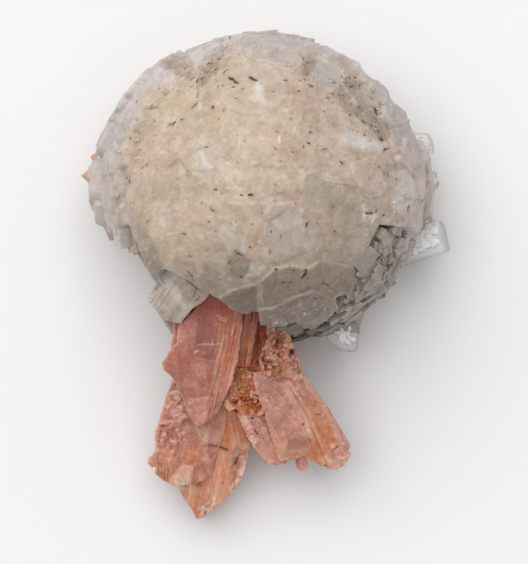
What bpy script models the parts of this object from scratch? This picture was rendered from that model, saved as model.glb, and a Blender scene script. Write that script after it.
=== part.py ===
# A leifite specimen: one ball of radiating crystals grown over pink serandite blades.
# It lies on the flat cut at its back. Metres, +Z up, origin at the middle of that cut.
# The front of the ball looks up along +Z, and the serandite blades point along -Y.

import math
import random

import bmesh
import bpy
from mathutils import Matrix, Vector

MM = 0.001

# Driving dimensions, in millimetres
BALL_RADIUS = 11.3
BALL_HEIGHT = 5.5  # the ball's middle above the flat cut
CORE_DEPTH = 0.3  # the solid middle stays this far under the shortest crystals
CRYSTAL_START = 4.0  # how far from the ball's middle a crystal's own prism begins
TAPER = 0.8  # a crystal's width at its start, against its width at its end
CONTACT_GAP = 0.3  # left between pieces that grew against each other
CHAMFER = 0.18  # cut along the edges of the flat crystals

# The crystals whose ends make the outline and the main plates of the front.
# Bearing turns from +X towards +Y round the ball, elevation rises towards +Z, both in degrees.
# (bearing, elevation, width in mm, reach in mm from the ball's middle, number of sides)
PLACED_CRYSTALS = (
    (86, 12, 5.4, 11.25, 6),
    (103, 5, 2.4, 10.85, 6),
    (115, 6, 3.4, 11.3, 6),
    (130, 4, 2.6, 11.85, 6),
    (139, 5, 2.6, 12.0, 6),
    (151, 3, 2.8, 12.05, 6),
    (162, 4, 3.0, 12.25, 6),
    (173, 5, 2.8, 12.0, 6),
    (183, 3, 2.2, 11.8, 4),
    (190, 4, 1.7, 11.25, 4),
    (230, 17, 4.6, 11.2, 4),
    (9, 6, 2.6, 11.6, 6),
    (20, 8, 3.8, 11.0, 6),
    (36, 9, 4.4, 10.75, 6),
    (51, 5, 2.4, 10.2, 6),
    (60, 7, 2.8, 10.6, 6),
    (70, 7, 2.6, 10.55, 6),
    (359, 4, 3.2, 11.65, 6),
    (309, 2, 2.2, 11.4, 4),
    (346, 8, 3.4, 10.6, 6),
    (99, 55, 5.4, 11.5, 6),
    (6, 43, 5.2, 11.45, 6),
    (41, 50, 4.2, 11.35, 6),
    (313, 41, 4.0, 11.5, 6),
    (336, 44, 4.2, 11.5, 6),
    (297, 35, 3.6, 11.55, 6),
    (283, 41, 4.2, 11.45, 6),
    (263, 44, 3.8, 11.4, 6),
    (242, 40, 3.6, 11.3, 6),
)

# Crystals that fill the rest of the ball, zone by zone. The first zone that holds a direction is used.
# (bearings from and to, highest elevation, spacing in mm, shortest and longest reach in mm)
FILLED_ZONES = (
    (236, 288, 36, 3.2, 8.5, 9.0),  # behind the serandite
    (288, 348, 34, 2.1, 9.7, 11.0),  # the broken skirt at the lower right
    (184, 236, 32, 3.2, 9.2, 9.5),  # the flank at the lower left
    (22, 112, 30, 3.3, 10.2, 10.6),  # the low rim at the upper right
    (0, 360, 90, 3.3, 11.2, 11.45),  # the dome and the other sides
)
FILL_OVERLAP = 1.26  # a filling crystal's width against its spacing
LOWEST_DIRECTION = -0.66  # crystals that point lower than this would lie under the cut

# Flat crystals of serandite. Outlines are in mm from the ball's middle, seen from the front.
# (outline, thickness, height of the middle at the anchor, anchor (x, y), lean (rise per mm of x and of y))
SERANDITE_SLABS = {
    "front_plate": (
        ((-6.3, -6.4), (-1.3, -6.4), (-1.5, -8.3), (-2.0, -11.9), (-3.0, -14.4), (-3.8, -15.8),
         (-4.6, -16.3), (-5.3, -15.6), (-5.7, -14.2), (-6.4, -12.9), (-7.1, -12.3), (-6.7, -10.9),
         (-6.2, -9.9), (-5.9, -8.9)),
        2.6, 7.2, (-4.0, -12.0), (0.04, 0.30),
    ),
    "rough_blade": (
        ((-6.3, -8.0), (-2.0, -8.0), (-2.2, -13.0), (-3.6, -19.0), (-5.8, -20.2), (-7.6, -19.4),
         (-7.7, -18.6), (-7.6, -17.8), (-7.7, -16.6), (-7.3, -14.6), (-6.8, -13.0), (-6.4, -10.0)),
        3.2, 4.5, (-5.0, -14.0), (0.0, 0.28),
    ),
    "side_point": (
        ((-5.6, -16.6), (-5.6, -18.9), (-7.3, -19.0), (-8.2, -18.5), (-7.5, -17.9)),
        1.2, 4.0, (-7.0, -18.0), (0.1, 0.20),
    ),
    "long_blade": (
        ((-4.5, -8.0), (-0.9, -8.0), (-1.2, -13.5), (-1.1, -17.3), (-1.45, -19.0), (-2.2, -20.5),
         (-2.9, -21.6), (-3.7, -22.5), (-4.4, -22.8), (-4.8, -21.9), (-5.9, -21.0), (-6.3, -20.1),
         (-5.2, -17.5), (-4.6, -13.0)),
        2.9, 4.2, (-3.0, -14.0), (0.0, 0.30),
    ),
    "ridge_on_long_blade": (
        ((-3.2, -13.5), (-1.9, -13.8), (-2.3, -17.5), (-3.3, -21.2), (-4.3, -21.6), (-3.9, -18.0)),
        1.1, 5.6, (-3.0, -14.0), (0.05, 0.31),
    ),
    "chip_on_long_blade": (
        ((-6.5, -20.2), (-5.1, -19.2), (-4.7, -19.4), (-5.5, -20.9)),
        1.0, 3.9, (-5.4, -20.0), (0.0, 0.25),
    ),
    "short_blade": (
        ((-0.8, -13.1), (0.6, -12.4), (2.8, -12.7), (3.6, -14.0), (5.0, -16.3), (6.0, -18.4),
         (5.6, -19.0), (4.7, -19.45), (3.8, -19.3), (3.1, -18.8), (2.0, -18.5), (0.7, -18.7),
         (0.0, -17.2), (-0.1, -15.2)),
        2.8, 5.4, (1.5, -14.5), (-0.12, 0.32),
    ),
    "short_blade_ledge": (
        ((-1.9, -15.2), (-1.2, -15.3), (0.3, -16.2), (1.2, -18.6), (1.0, -18.95), (0.1, -18.9), (-0.9, -17.3)),
        2.0, 4.9, (-0.5, -16.5), (-0.1, 0.30),
    ),
    "short_blade_side": (
        ((2.2, -13.2), (3.1, -13.0), (5.2, -16.2), (5.95, -18.3), (5.3, -18.7), (3.9, -16.5)),
        1.0, 6.6, (3.6, -15.6), (-0.2, 0.30),
    ),
    "prong": (
        ((2.0, -17.6), (2.9, -17.8), (3.1, -19.4), (2.4, -19.5)),
        1.2, 3.9, (2.4, -18.5), (0.0, 0.25),
    ),
    "inner_wall": (
        ((-2.4, -6.8), (2.4, -6.8), (1.4, -11.5), (1.4, -15.0), (-1.8, -16.0), (-2.4, -12.0)),
        3.0, 4.4, (0.0, -11.0), (0.0, 0.18),
    ),
    "sliver": (
        ((-0.9, -7.2), (-0.4, -7.2), (-1.0, -11.7), (-1.45, -11.9)),
        2.4, 6.9, (-0.9, -10.0), (0.0, 0.25),
    ),
}

# Rough lumps of serandite at the root. (middle in mm from the ball's middle and above the cut, size in mm)
SERANDITE_LUMPS = (
    ((1.1, -11.0, 7.2), (1.7, 1.5, 1.7)),
    ((2.0, -12.2, 6.4), (1.3, 1.3, 1.4)),
    ((1.4, -9.4, 7.0), (1.1, 1.5, 1.3)),
    ((-0.9, -13.9, 6.2), (1.3, 1.3, 1.1)),
    ((-1.5, -12.6, 6.6), (0.9, 1.0, 1.0)),
)

# Single flat crystals at the rim, each a piece of its own, in the same form as the slabs.
SERANDITE_POINTS = {
    "serandite_point_upper": (
        ((-10.0, 4.0), (-11.6, 3.2), (-12.3, 2.75), (-12.0, 2.2), (-10.0, 1.5)),
        1.6, 3.9, (-11.0, 2.5), (0.1, 0.0),
    ),
    "serandite_point_lower": (
        ((-10.0, 1.2), (-11.4, 2.0), (-12.2, 2.0), (-12.95, 1.4), (-12.4, 0.9), (-10.0, -0.9)),
        1.8, 3.8, (-11.5, 0.8), (0.1, 0.0),
    ),
}
CLEAR_CRYSTALS = {
    "clear_crystal_upper": (
        ((9.2, 4.4), (11.5, 4.35), (11.8, 3.8), (11.9, 3.0), (11.7, 2.75), (9.2, 2.3)),
        2.0, 3.6, (10.8, 3.5), (0.05, 0.0),
    ),
    "clear_crystal_small": (
        ((10.2, 1.9), (11.5, 1.9), (12.1, 1.6), (12.15, 1.1), (12.3, 0.8), (12.1, 0.45), (11.7, 0.35), (10.2, 0.2)),
        1.5, 3.4, (11.3, 1.1), (0.0, 0.0),
    ),
    "clear_crystal_large": (
        ((8.8, -2.4), (11.9, -1.7), (12.3, -1.75), (12.55, -2.1), (12.95, -3.9), (9.9, -4.9), (8.8, -5.1)),
        2.4, 4.6, (10.8, -3.3), (0.03, 0.04),
    ),
    "clear_crystal_bottom": (
        ((4.0, -8.6), (6.2, -8.6), (6.7, -9.3), (6.4, -10.95), (5.7, -11.0), (5.1, -10.8), (4.5, -10.2)),
        2.3, 4.6, (5.5, -9.8), (0.0, 0.05),
    ),
}

COLOURS = {
    "leifite": ((0.56, 0.45, 0.35), 0.42),
    "serandite": ((0.50, 0.20, 0.13), 0.40),
    "clear": ((0.78, 0.76, 0.73), 0.12),
}


def clear_scene():
    for obj in list(bpy.data.objects):
        bpy.data.objects.remove(obj)


def make_material(name):
    colour, roughness = COLOURS[name]
    material = bpy.data.materials.new(name)
    material.use_nodes = True
    shader = material.node_tree.nodes["Principled BSDF"]
    shader.inputs["Base Color"].default_value = (*colour, 1.0)
    shader.inputs["Roughness"].default_value = roughness
    shader.inputs["Metallic"].default_value = 0.0
    return material


def make_collection(name, hidden):
    collection = bpy.data.collections.new(name)
    collection.hide_render = hidden
    bpy.context.scene.collection.children.link(collection)
    return collection


def add_object(name, mesh, collection, hidden=False):
    obj = bpy.data.objects.new(name, mesh)
    collection.objects.link(obj)
    if hidden:
        obj.hide_render = True
        obj.display_type = "WIRE"
    return obj


# The directions of the ball's crystals


def direction_of(bearing, elevation):
    b, e = math.radians(bearing), math.radians(elevation)
    return Vector((math.cos(b) * math.cos(e), math.sin(b) * math.cos(e), math.sin(e)))


def spread_directions(spacing):
    # Directions about `spacing` apart on the ball, along a golden spiral.
    count = round(4 * math.pi * BALL_RADIUS**2 / spacing**2)
    golden_angle = math.pi * (3 - math.sqrt(5))
    for i in range(count):
        z = 1 - 2 * (i + 0.5) / count
        ring = math.sqrt(1 - z * z)
        yield Vector((ring * math.cos(i * golden_angle), ring * math.sin(i * golden_angle), z))


def zone_of(direction):
    bearing = math.degrees(math.atan2(direction.y, direction.x)) % 360
    elevation = math.degrees(math.asin(direction.z))
    for zone in FILLED_ZONES:
        start, end, highest = zone[:3]
        if start <= bearing <= end and elevation <= highest:
            return zone
    return FILLED_ZONES[-1]


def ball_crystals():
    # Every crystal of the ball, as (direction, width, reach, sides, spin, lean).
    rng = random.Random(11)
    crystals = []
    for bearing, elevation, width, reach, sides in PLACED_CRYSTALS:
        spin = math.radians(rng.uniform(-12, 12))
        lean = math.radians(rng.uniform(0.0, 0.5) * width)
        crystals.append((direction_of(bearing, elevation), width, reach, sides, spin, lean))
    placed = list(crystals)
    for spacing in sorted({zone[3] for zone in FILLED_ZONES}):
        for direction in spread_directions(spacing):
            zone = zone_of(direction)
            shift = Vector([rng.uniform(-0.16, 0.16) * spacing / BALL_RADIUS for _ in range(3)])
            width = spacing * FILL_OVERLAP * rng.uniform(0.88, 1.12)
            reach = rng.uniform(zone[4], zone[5])
            spin = rng.uniform(0, math.pi / 3)
            lean = math.radians(rng.uniform(0.1, 0.7) * width)
            moved = (direction + shift).normalized()
            if zone[3] != spacing or moved.z < LOWEST_DIRECTION:
                continue
            near = (moved.angle(p[0]) * BALL_RADIUS < 0.36 * (width + p[1]) for p in placed)
            if not any(near):
                crystals.append((moved, width, reach, 6, spin, lean))
    return crystals


def prism_mesh(crystal, grow):
    # A tapered prism that points away from the ball's middle, larger all round by `grow`.
    direction, width, reach, sides, spin, lean = crystal
    end_radius = (width / 2 + grow) * MM
    length = (reach + grow - CRYSTAL_START) * MM
    place = (
        Matrix.Translation(Vector((0, 0, BALL_HEIGHT * MM)) + direction * (reach + grow) * MM)
        @ Vector((0, 0, 1)).rotation_difference(direction).to_matrix().to_4x4()
        @ Matrix.Rotation(lean, 4, "X")
        @ Matrix.Rotation(spin, 4, "Z")
        @ Matrix.Translation((0, 0, -length / 2))
    )
    bm = bmesh.new()
    bmesh.ops.create_cone(
        bm, cap_ends=True, segments=sides, radius1=end_radius * TAPER, radius2=end_radius, depth=length, matrix=place
    )
    mesh = bpy.data.meshes.new("prism")
    bm.to_mesh(mesh)
    bm.free()
    return mesh


def core_mesh(grow):
    # The solid middle, a little under the shortest crystals of each zone.
    bm = bmesh.new()
    bmesh.ops.create_icosphere(bm, subdivisions=3, radius=1.0)
    for vert in bm.verts:
        direction = vert.co.normalized()
        shortest = zone_of(direction)[4]
        vert.co = (direction * (shortest - CORE_DEPTH + grow) + Vector((0, 0, BALL_HEIGHT))) * MM
    mesh = bpy.data.meshes.new("core")
    bm.to_mesh(mesh)
    bm.free()
    return mesh


def boolean(obj, operation, operand):
    modifier = obj.modifiers.new(operation.lower(), "BOOLEAN")
    modifier.operation = operation
    if isinstance(operand, bpy.types.Collection):
        modifier.operand_type = "COLLECTION"
        modifier.collection = operand
    else:
        modifier.object = operand


def floor_cutter(cutters):
    # A block whose top is the flat cut, wide enough to take away all that lies under it.
    side = 60 * MM
    bm = bmesh.new()
    bmesh.ops.create_cube(bm, size=side, matrix=Matrix.Translation((0, 0, -side / 2)))
    mesh = bpy.data.meshes.new("under_the_cut")
    bm.to_mesh(mesh)
    bm.free()
    return add_object("under_the_cut", mesh, cutters, hidden=True)


def make_ball(name, parts, cutters, crystals, grow=0.0, hidden=False):
    # The core joined with all its crystals. A larger copy, grown by the contact gap, cuts the neighbours.
    prisms = make_collection(name + "_crystals", hidden=True)
    for i, crystal in enumerate(crystals):
        add_object(f"{name}_crystal_{i}", prism_mesh(crystal, grow), prisms, hidden=True)
    ball = add_object(name, core_mesh(grow), cutters if hidden else parts, hidden)
    boolean(ball, "UNION", prisms)
    return ball


# Flat crystals and rough lumps


def slab_mesh(slab):
    # A flat crystal with chamfered edges: a filled outline given thickness, then sheared to lean.
    outline, thickness, middle, anchor, lean = slab
    curve = bpy.data.curves.new("slab", "CURVE")
    curve.dimensions = "2D"
    curve.fill_mode = "BOTH"
    curve.extrude = (thickness / 2 - CHAMFER) * MM
    curve.bevel_depth = CHAMFER * MM
    curve.bevel_resolution = 0
    curve.offset = -CHAMFER * MM
    spline = curve.splines.new("POLY")
    spline.points.add(len(outline) - 1)
    for point, (x, y) in zip(spline.points, outline):
        point.co = (x * MM, y * MM, 0, 1)
    spline.use_cyclic_u = True
    guide = add_object("slab_outline", curve, bpy.context.scene.collection)
    evaluated = guide.evaluated_get(bpy.context.evaluated_depsgraph_get())
    mesh = bpy.data.meshes.new_from_object(evaluated)
    bpy.data.objects.remove(guide)

    bm = bmesh.new()
    bm.from_mesh(mesh)
    bmesh.ops.remove_doubles(bm, verts=bm.verts, dist=0.001 * MM)
    for vert in bm.verts:
        vert.co.z += middle * MM
        vert.co.z += lean[0] * (vert.co.x - anchor[0] * MM) + lean[1] * (vert.co.y - anchor[1] * MM)
    bmesh.ops.recalc_face_normals(bm, faces=bm.faces)
    bm.to_mesh(mesh)
    bm.free()
    return mesh


def lump_mesh(lump, seed):
    # A rough lump: a coarse ball stretched to its size, with each corner moved in or out.
    middle, size = lump
    rng = random.Random(seed)
    bm = bmesh.new()
    bmesh.ops.create_icosphere(bm, subdivisions=1, radius=1.0)
    for vert in bm.verts:
        vert.co *= rng.uniform(0.78, 1.15)
        vert.co = Vector([(m + s * c) * MM for m, s, c in zip(middle, size, vert.co)])
    mesh = bpy.data.meshes.new("lump")
    bm.to_mesh(mesh)
    bm.free()
    return mesh


def make_serandite(parts):
    # The blades, ledges and lumps of serandite, joined in one solid.
    pieces = make_collection("serandite_pieces", hidden=True)
    meshes = {name: slab_mesh(slab) for name, slab in SERANDITE_SLABS.items()}
    meshes.update((f"lump_{i}", lump_mesh(lump, seed=i)) for i, lump in enumerate(SERANDITE_LUMPS))
    serandite = add_object("serandite_crystals", meshes.pop("inner_wall"), parts)
    for name, mesh in meshes.items():
        add_object(name, mesh, pieces, hidden=True)
    boolean(serandite, "UNION", pieces)
    return serandite


def main():
    clear_scene()
    parts = make_collection("leifite_on_serandite", hidden=False)
    cutters = make_collection("cutters", hidden=True)
    materials = {name: make_material(name) for name in COLOURS}
    serandite = [make_serandite(parts)]
    serandite += [add_object(name, slab_mesh(slab), parts) for name, slab in SERANDITE_POINTS.items()]
    clear = [add_object(name, slab_mesh(slab), parts) for name, slab in CLEAR_CRYSTALS.items()]
    crystals = ball_crystals()
    ball = make_ball("leifite_ball", parts, cutters, crystals)
    boolean(ball, "DIFFERENCE", floor_cutter(cutters))
    clearance = make_ball("ball_clearance", parts, cutters, crystals, CONTACT_GAP, hidden=True)
    for obj in serandite + clear:
        boolean(obj, "DIFFERENCE", clearance)
    ball.data.materials.append(materials["leifite"])
    for obj in serandite:
        obj.data.materials.append(materials["serandite"])
    for obj in clear:
        obj.data.materials.append(materials["clear"])


main()
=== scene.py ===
import math

import bmesh
import bpy
import numpy as np
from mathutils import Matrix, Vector


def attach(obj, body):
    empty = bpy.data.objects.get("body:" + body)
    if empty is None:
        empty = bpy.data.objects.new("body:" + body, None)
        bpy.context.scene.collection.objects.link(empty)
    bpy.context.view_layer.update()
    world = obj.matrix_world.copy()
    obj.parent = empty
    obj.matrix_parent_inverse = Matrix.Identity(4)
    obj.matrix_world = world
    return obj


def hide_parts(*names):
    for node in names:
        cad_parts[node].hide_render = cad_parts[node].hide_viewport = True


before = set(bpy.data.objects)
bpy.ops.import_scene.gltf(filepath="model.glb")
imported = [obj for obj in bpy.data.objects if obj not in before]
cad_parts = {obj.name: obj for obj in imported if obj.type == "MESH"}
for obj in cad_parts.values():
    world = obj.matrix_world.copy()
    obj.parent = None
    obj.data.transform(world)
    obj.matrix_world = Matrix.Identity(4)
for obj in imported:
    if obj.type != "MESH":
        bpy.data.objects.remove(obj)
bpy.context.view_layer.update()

mm = 0.001
ballMiddle = np.array([0.0, 0.0, 5.5])  # mm, above the flat cut
print("frame loaded")


# Numbers and noise

def linearColour(red, green, blue):
    # the light behind a screen colour given from 0 to 255
    c = np.array([red, green, blue]) / 255
    return np.where(c <= 0.04045, c / 12.92, ((c + 0.055) / 1.055) ** 2.4)


def ramp(x, low, high):
    # 0 below low, 1 above high, and a smooth S between
    t = np.clip((x - low) / (high - low), 0, 1)
    return t * t * (3 - 2 * t)


def mixTo(a, b, share):
    # a where share is 0, b where it is 1
    return a + (b - a) * np.clip(share, 0, 1)[..., None]


def latticeNumber(x, y, z, seed):
    # a repeatable number from 0 to 1 for each whole-number corner: its place times large odd numbers, its bits folded
    n = x * 374761393 + y * 668265263 + z * 1274126177 + seed * 974634777
    n = (n ^ (n >> 13)) * 1103515245
    n = (n ^ (n >> 16)) & 0xFFFFFF
    return n / 0xFFFFFF


def smoothNoise(p, size, seed):
    # lattice numbers at the eight corners round each point, blended by smooth steps, from -1 to 1
    q = np.asarray(p) / size
    corner = np.floor(q).astype(np.int64)
    f = q - corner
    f = f * f * (3 - 2 * f)
    total = 0
    for dx in (0, 1):
        for dy in (0, 1):
            for dz in (0, 1):
                weight = 1
                for axis, step in enumerate((dx, dy, dz)):
                    weight = weight * (f[..., axis] if step else 1 - f[..., axis])
                total = total + weight * latticeNumber(
                    corner[..., 0] + dx, corner[..., 1] + dy, corner[..., 2] + dz, seed)
    return total * 2 - 1


def layeredNoise(p, size, layers, seed):
    # smooth noise summed over layers, each half the size and half the height of the one before
    total, norm = 0, 0
    for k in range(layers):
        total = total + smoothNoise(p, size / 2**k, seed + 31 * k) * 0.5**k
        norm += 0.5**k
    return total / norm


# Meshes

def gridFaces(rows, columns, closed=False):
    # the four corners of every cell of a grid; a closed grid joins its last column to its first
    r = np.arange(rows - 1)[:, None]
    c = np.arange(columns if closed else columns - 1)[None, :]
    after = (c + 1) % columns
    return np.stack([r * columns + c, r * columns + after, (r + 1) * columns + after, (r + 1) * columns + c],
                    axis=-1).reshape(-1, 4)


def addPiece(name, points, faces, material, slotName, tone=None, smooth=True, weld=0.0):
    mesh = bpy.data.meshes.new(name)
    mesh.from_pydata(points * mm, [], faces)
    if tone is not None:
        layer = mesh.color_attributes.new("tone", "FLOAT_COLOR", "POINT")
        layer.data.foreach_set("color", np.column_stack([tone, np.ones(len(tone))]).ravel())
    bm = bmesh.new()
    bm.from_mesh(mesh)
    if weld:
        bmesh.ops.remove_doubles(bm, verts=bm.verts, dist=weld * mm)
    if bm.calc_volume(signed=True) < 0:
        bmesh.ops.reverse_faces(bm, faces=bm.faces)
    bm.to_mesh(mesh)
    bm.free()
    mesh.polygons.foreach_set("use_smooth", np.full(len(mesh.polygons), smooth))
    mesh.materials.append(material)
    piece = bpy.data.objects.new(name, mesh)
    bpy.context.scene.collection.objects.link(piece)
    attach(piece, "root")
    print(f"{name}: {len(mesh.polygons)} faces")
    return piece


# Materials

leifiteSpread, seranditeSpread = (1.0, 0.9, 0.85), (1.0, 0.5, 0.35)  # how far red, green and blue light scatter
# grain and the first of flats are cells to a metre; depth is in mm; the second of flats is how far they lean
mineralLooks = {
    "milkyLeifite": {"roughness": (0.30, 0.52), "mottle": 0.16, "grain": 900.0, "bump": 0.35, "transmission": 0.0,
                     "subsurface": 0.35, "depth": 0.4, "spread": (1.0, 0.86, 0.74), "specular": 0.5,
                     "flats": (2300.0, 0.34)},
    "rimLeifite": {"roughness": (0.22, 0.42), "mottle": 0.18, "grain": 1300.0, "bump": 0.30, "transmission": 0.12,
                   "subsurface": 0.4, "depth": 0.5, "spread": leifiteSpread, "specular": 0.5,
                   "flats": (1900.0, 0.30)},
    "skirtLeifite": {"roughness": (0.25, 0.5), "mottle": 0.20, "grain": 1500.0, "bump": 0.35, "transmission": 0.0,
                     "subsurface": 0.4, "depth": 0.5, "spread": leifiteSpread, "specular": 0.5,
                     "flats": (1900.0, 0.30)},
    "frostyHeart": {"roughness": (0.25, 0.6), "mottle": 0.06, "grain": 1500.0, "bump": 0.8, "transmission": 0.0,
                    "subsurface": 0.2, "depth": 0.3, "spread": (1.0, 1.0, 1.0), "specular": 0.5},
    "rosySerandite": {"roughness": (0.18, 0.42), "mottle": 0.16, "grain": 1500.0, "bump": 0.35, "transmission": 0.0,
                      "subsurface": 0.5, "depth": 0.6, "spread": seranditeSpread, "specular": 0.6,
                      "flats": (1500.0, 0.12)},
    "frostedSerandite": {"roughness": (0.25, 0.55), "mottle": 0.26, "grain": 1700.0, "bump": 0.8,
                         "transmission": 0.0, "subsurface": 0.35, "depth": 0.45, "spread": seranditeSpread,
                         "specular": 0.6, "flats": (2200.0, 0.25)},
}
crystalIor = 1.52


def wire(tree, node, inputs):
    # each input, by name or number, takes another node's output or a plain value
    for name, value in inputs.items():
        if isinstance(value, bpy.types.NodeSocket):
            tree.links.new(value, node.inputs[name])
        else:
            node.inputs[name].default_value = value
    return node


def addNode(tree, kind, inputs, operation=None):
    node = tree.nodes.new("ShaderNode" + kind)
    if operation:
        node.operation = operation
    return wire(tree, node, inputs)


def remap(tree, value, low, high, newLow, newHigh):
    # low to high, carried over to newLow to newHigh
    node = addNode(tree, "MapRange", {"Value": value, "From Min": low, "From Max": high,
                                      "To Min": newLow, "To Max": newHigh})
    return node.outputs["Result"]


def newMaterial(name):
    # the material, its tree, its shader and the place on the piece
    material = bpy.data.materials.new(name)
    material.use_nodes = True
    tree = material.node_tree
    return material, tree, tree.nodes["Principled BSDF"], addNode(tree, "TexCoord", {}).outputs["Object"]


def mineralMaterial(name):
    # the piece's own tone, mottled by fine noise, over light that scatters a little way in
    look = mineralLooks[name]
    material, tree, shader, place = newMaterial(name)
    tone = addNode(tree, "Attribute", {})
    tone.attribute_name = "tone"

    cloud = addNode(tree, "TexNoise", {"Scale": look["grain"], "Detail": 7.0, "Roughness": 0.72, "Vector": place})
    mottle = remap(tree, cloud.outputs["Fac"], 0.3, 0.7, 1 - look["mottle"], 1 + look["mottle"])
    tint = addNode(tree, "VectorMath", {0: tone.outputs["Color"], "Scale": mottle}, "SCALE")
    patches = addNode(tree, "TexNoise", {"Scale": look["grain"] * 0.2, "Detail": 3.0, "Vector": place})
    gloss = remap(tree, patches.outputs["Fac"], 0.35, 0.65, *look["roughness"])

    # the finest relief, too small for the mesh
    fine = addNode(tree, "TexNoise", {"Scale": look["grain"] * 1.6, "Detail": 4.0, "Roughness": 0.6, "Vector": place})
    bump = addNode(tree, "Bump", {"Strength": look["bump"], "Distance": 0.1 * mm, "Height": fine.outputs["Fac"]})
    if "flats" in look:  # cleavage flats under a millimetre wide: height falls off each cell's middle its own way
        scale, steepness = look["flats"]
        cells = addNode(tree, "TexVoronoi", {"Scale": scale, "Vector": place})
        away = addNode(tree, "VectorMath", {0: place, 1: cells.outputs["Position"]}, "SUBTRACT")
        lean = addNode(tree, "VectorMath", {0: cells.outputs["Color"], 1: (0.5, 0.5, 0.5)}, "SUBTRACT")
        height = addNode(tree, "VectorMath", {0: away.outputs["Vector"], 1: lean.outputs["Vector"]}, "DOT_PRODUCT")
        tilt = addNode(tree, "Bump", {"Strength": steepness, "Distance": 1.0, "Height": height.outputs["Value"]})
        wire(tree, bump, {"Normal": tilt.outputs["Normal"]})

    wire(tree, shader, {
        "Base Color": tint.outputs["Vector"], "Roughness": gloss, "Normal": bump.outputs["Normal"],
        "Subsurface Weight": look["subsurface"], "Subsurface Radius": look["spread"],
        "Subsurface Scale": look["depth"] * mm, "Transmission Weight": look["transmission"],
        "IOR": crystalIor, "Specular IOR Level": look["specular"]})
    return material


clearLook = {"roughness": (0.05, 0.22), "grain": 900.0, "bump": 0.3, "transmission": 0.88,
             "tint": (1.0, 0.995, 0.985), "inside": (0.92, 0.92, 0.90), "absorb": 6.0}


def clearMaterial():
    # plain see-through crystal whose surface is frosted in patches, with a little absorption inside
    material, tree, shader, place = newMaterial("clearCrystal")
    cloud = addNode(tree, "TexNoise", {"Scale": clearLook["grain"], "Detail": 4.0, "Vector": place}).outputs["Fac"]
    haze = remap(tree, cloud, 0.4, 0.6, *clearLook["roughness"])
    bump = addNode(tree, "Bump", {"Strength": clearLook["bump"], "Distance": 0.08 * mm, "Height": cloud})
    wire(tree, shader, {"Base Color": (*clearLook["tint"], 1.0), "Roughness": haze, "Normal": bump.outputs["Normal"],
                        "Transmission Weight": clearLook["transmission"], "IOR": crystalIor})
    absorb = addNode(tree, "VolumeAbsorption", {"Color": (*clearLook["inside"], 1.0),
                                                "Density": clearLook["absorb"]})
    wire(tree, tree.nodes["Material Output"], {"Volume": absorb.outputs["Volume"]})
    return material


materials = {name: mineralMaterial(name) for name in mineralLooks}
materials["clearCrystal"] = clearMaterial()
print("materials ready")


# Shapes drawn on the front view

gridStep = 0.07  # mm
gridMiddle = (265, 195)  # the ball's middle, in grid steps from the front view's upper left corner


def fromFront(points):
    # mm from the ball's middle, for points counted in grid steps to the right and down
    return (np.array(points, dtype=float) - gridMiddle) * (gridStep, -gridStep)


def polygonDistance(xy, corners):
    # mm to the nearest side of a polygon, negative inside, which is told by counting the sides a ray crosses
    best = np.full(len(xy), 1e9)
    inside = np.zeros(len(xy), dtype=bool)
    for a, b in zip(corners, np.roll(corners, -1, axis=0)):
        side, away = b - a, xy - a
        t = np.clip(away @ side / (side @ side), 0, 1)
        best = np.minimum(best, np.hypot(*(away - t[:, None] * side).T))
        if a[1] != b[1]:
            crosses = (a[1] > xy[:, 1]) != (b[1] > xy[:, 1])
            inside ^= crosses & (xy[:, 0] < side[0] * (xy[:, 1] - a[1]) / (b[1] - a[1]) + a[0])
    return np.where(inside, -best, best)


def layPatches(patches, palette, xy, spots, tone, seed, wobble):
    # Each patch is a polygon seen from the front. Its lift is a step at its border that fades inwards; its tone and
    # its grain fill it; its border carries a line.
    lift, grain, line = np.zeros(len(xy)), np.zeros(len(xy)), np.zeros(len(xy))
    waver = [layeredNoise(spots, 0.9, 3, seed + k) * wobble for k in (0, 1)]
    moved = xy + np.stack(waver, axis=-1)
    for corners, height, name, strength, rough, border in patches:
        corners = fromFront(corners)
        within = (moved > corners.min(axis=0) - 0.5) & (moved < corners.max(axis=0) + 0.5)
        near = np.nonzero(within.all(axis=1))[0]
        distance = polygonDistance(moved[near], corners)
        inside = ramp(-distance, -0.05, 0.05)
        lift[near] += height * inside * np.exp(np.minimum(distance, 0) / 1.3)
        tone[near] = mixTo(tone[near], palette[name], strength * ramp(-distance, -0.15, 0.3))
        grain[near] = np.maximum(grain[near], rough * ramp(-distance, -0.2, 0.2))
        line[near] = np.maximum(line[near], border * np.exp(-((distance / 0.055) ** 2)))
    return lift, grain, line, tone


def capsuleShare(xy, marks, soft):
    # how dark each point is under a list of short strokes: x, y, turn in degrees, length, width
    share = np.zeros(len(xy))
    for x, y, turn, length, width in marks:
        along = np.array([math.cos(math.radians(turn)), math.sin(math.radians(turn))])
        near = np.nonzero((np.abs(xy - (x, y)) < length + 0.4).all(axis=1))[0]
        away = xy[near] - (x, y)
        t = np.clip(away @ along, -length / 2, length / 2)
        distance = np.hypot(*(away - t[:, None] * along).T) - width * 0.40
        ragged = np.column_stack([xy[near], np.full(len(near), x + y)])
        distance += 0.35 * width * layeredNoise(ragged, 0.22, 2, 17)
        share[near] = np.maximum(share[near], ramp(-distance, -soft, soft * 0.6))
    return share


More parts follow.
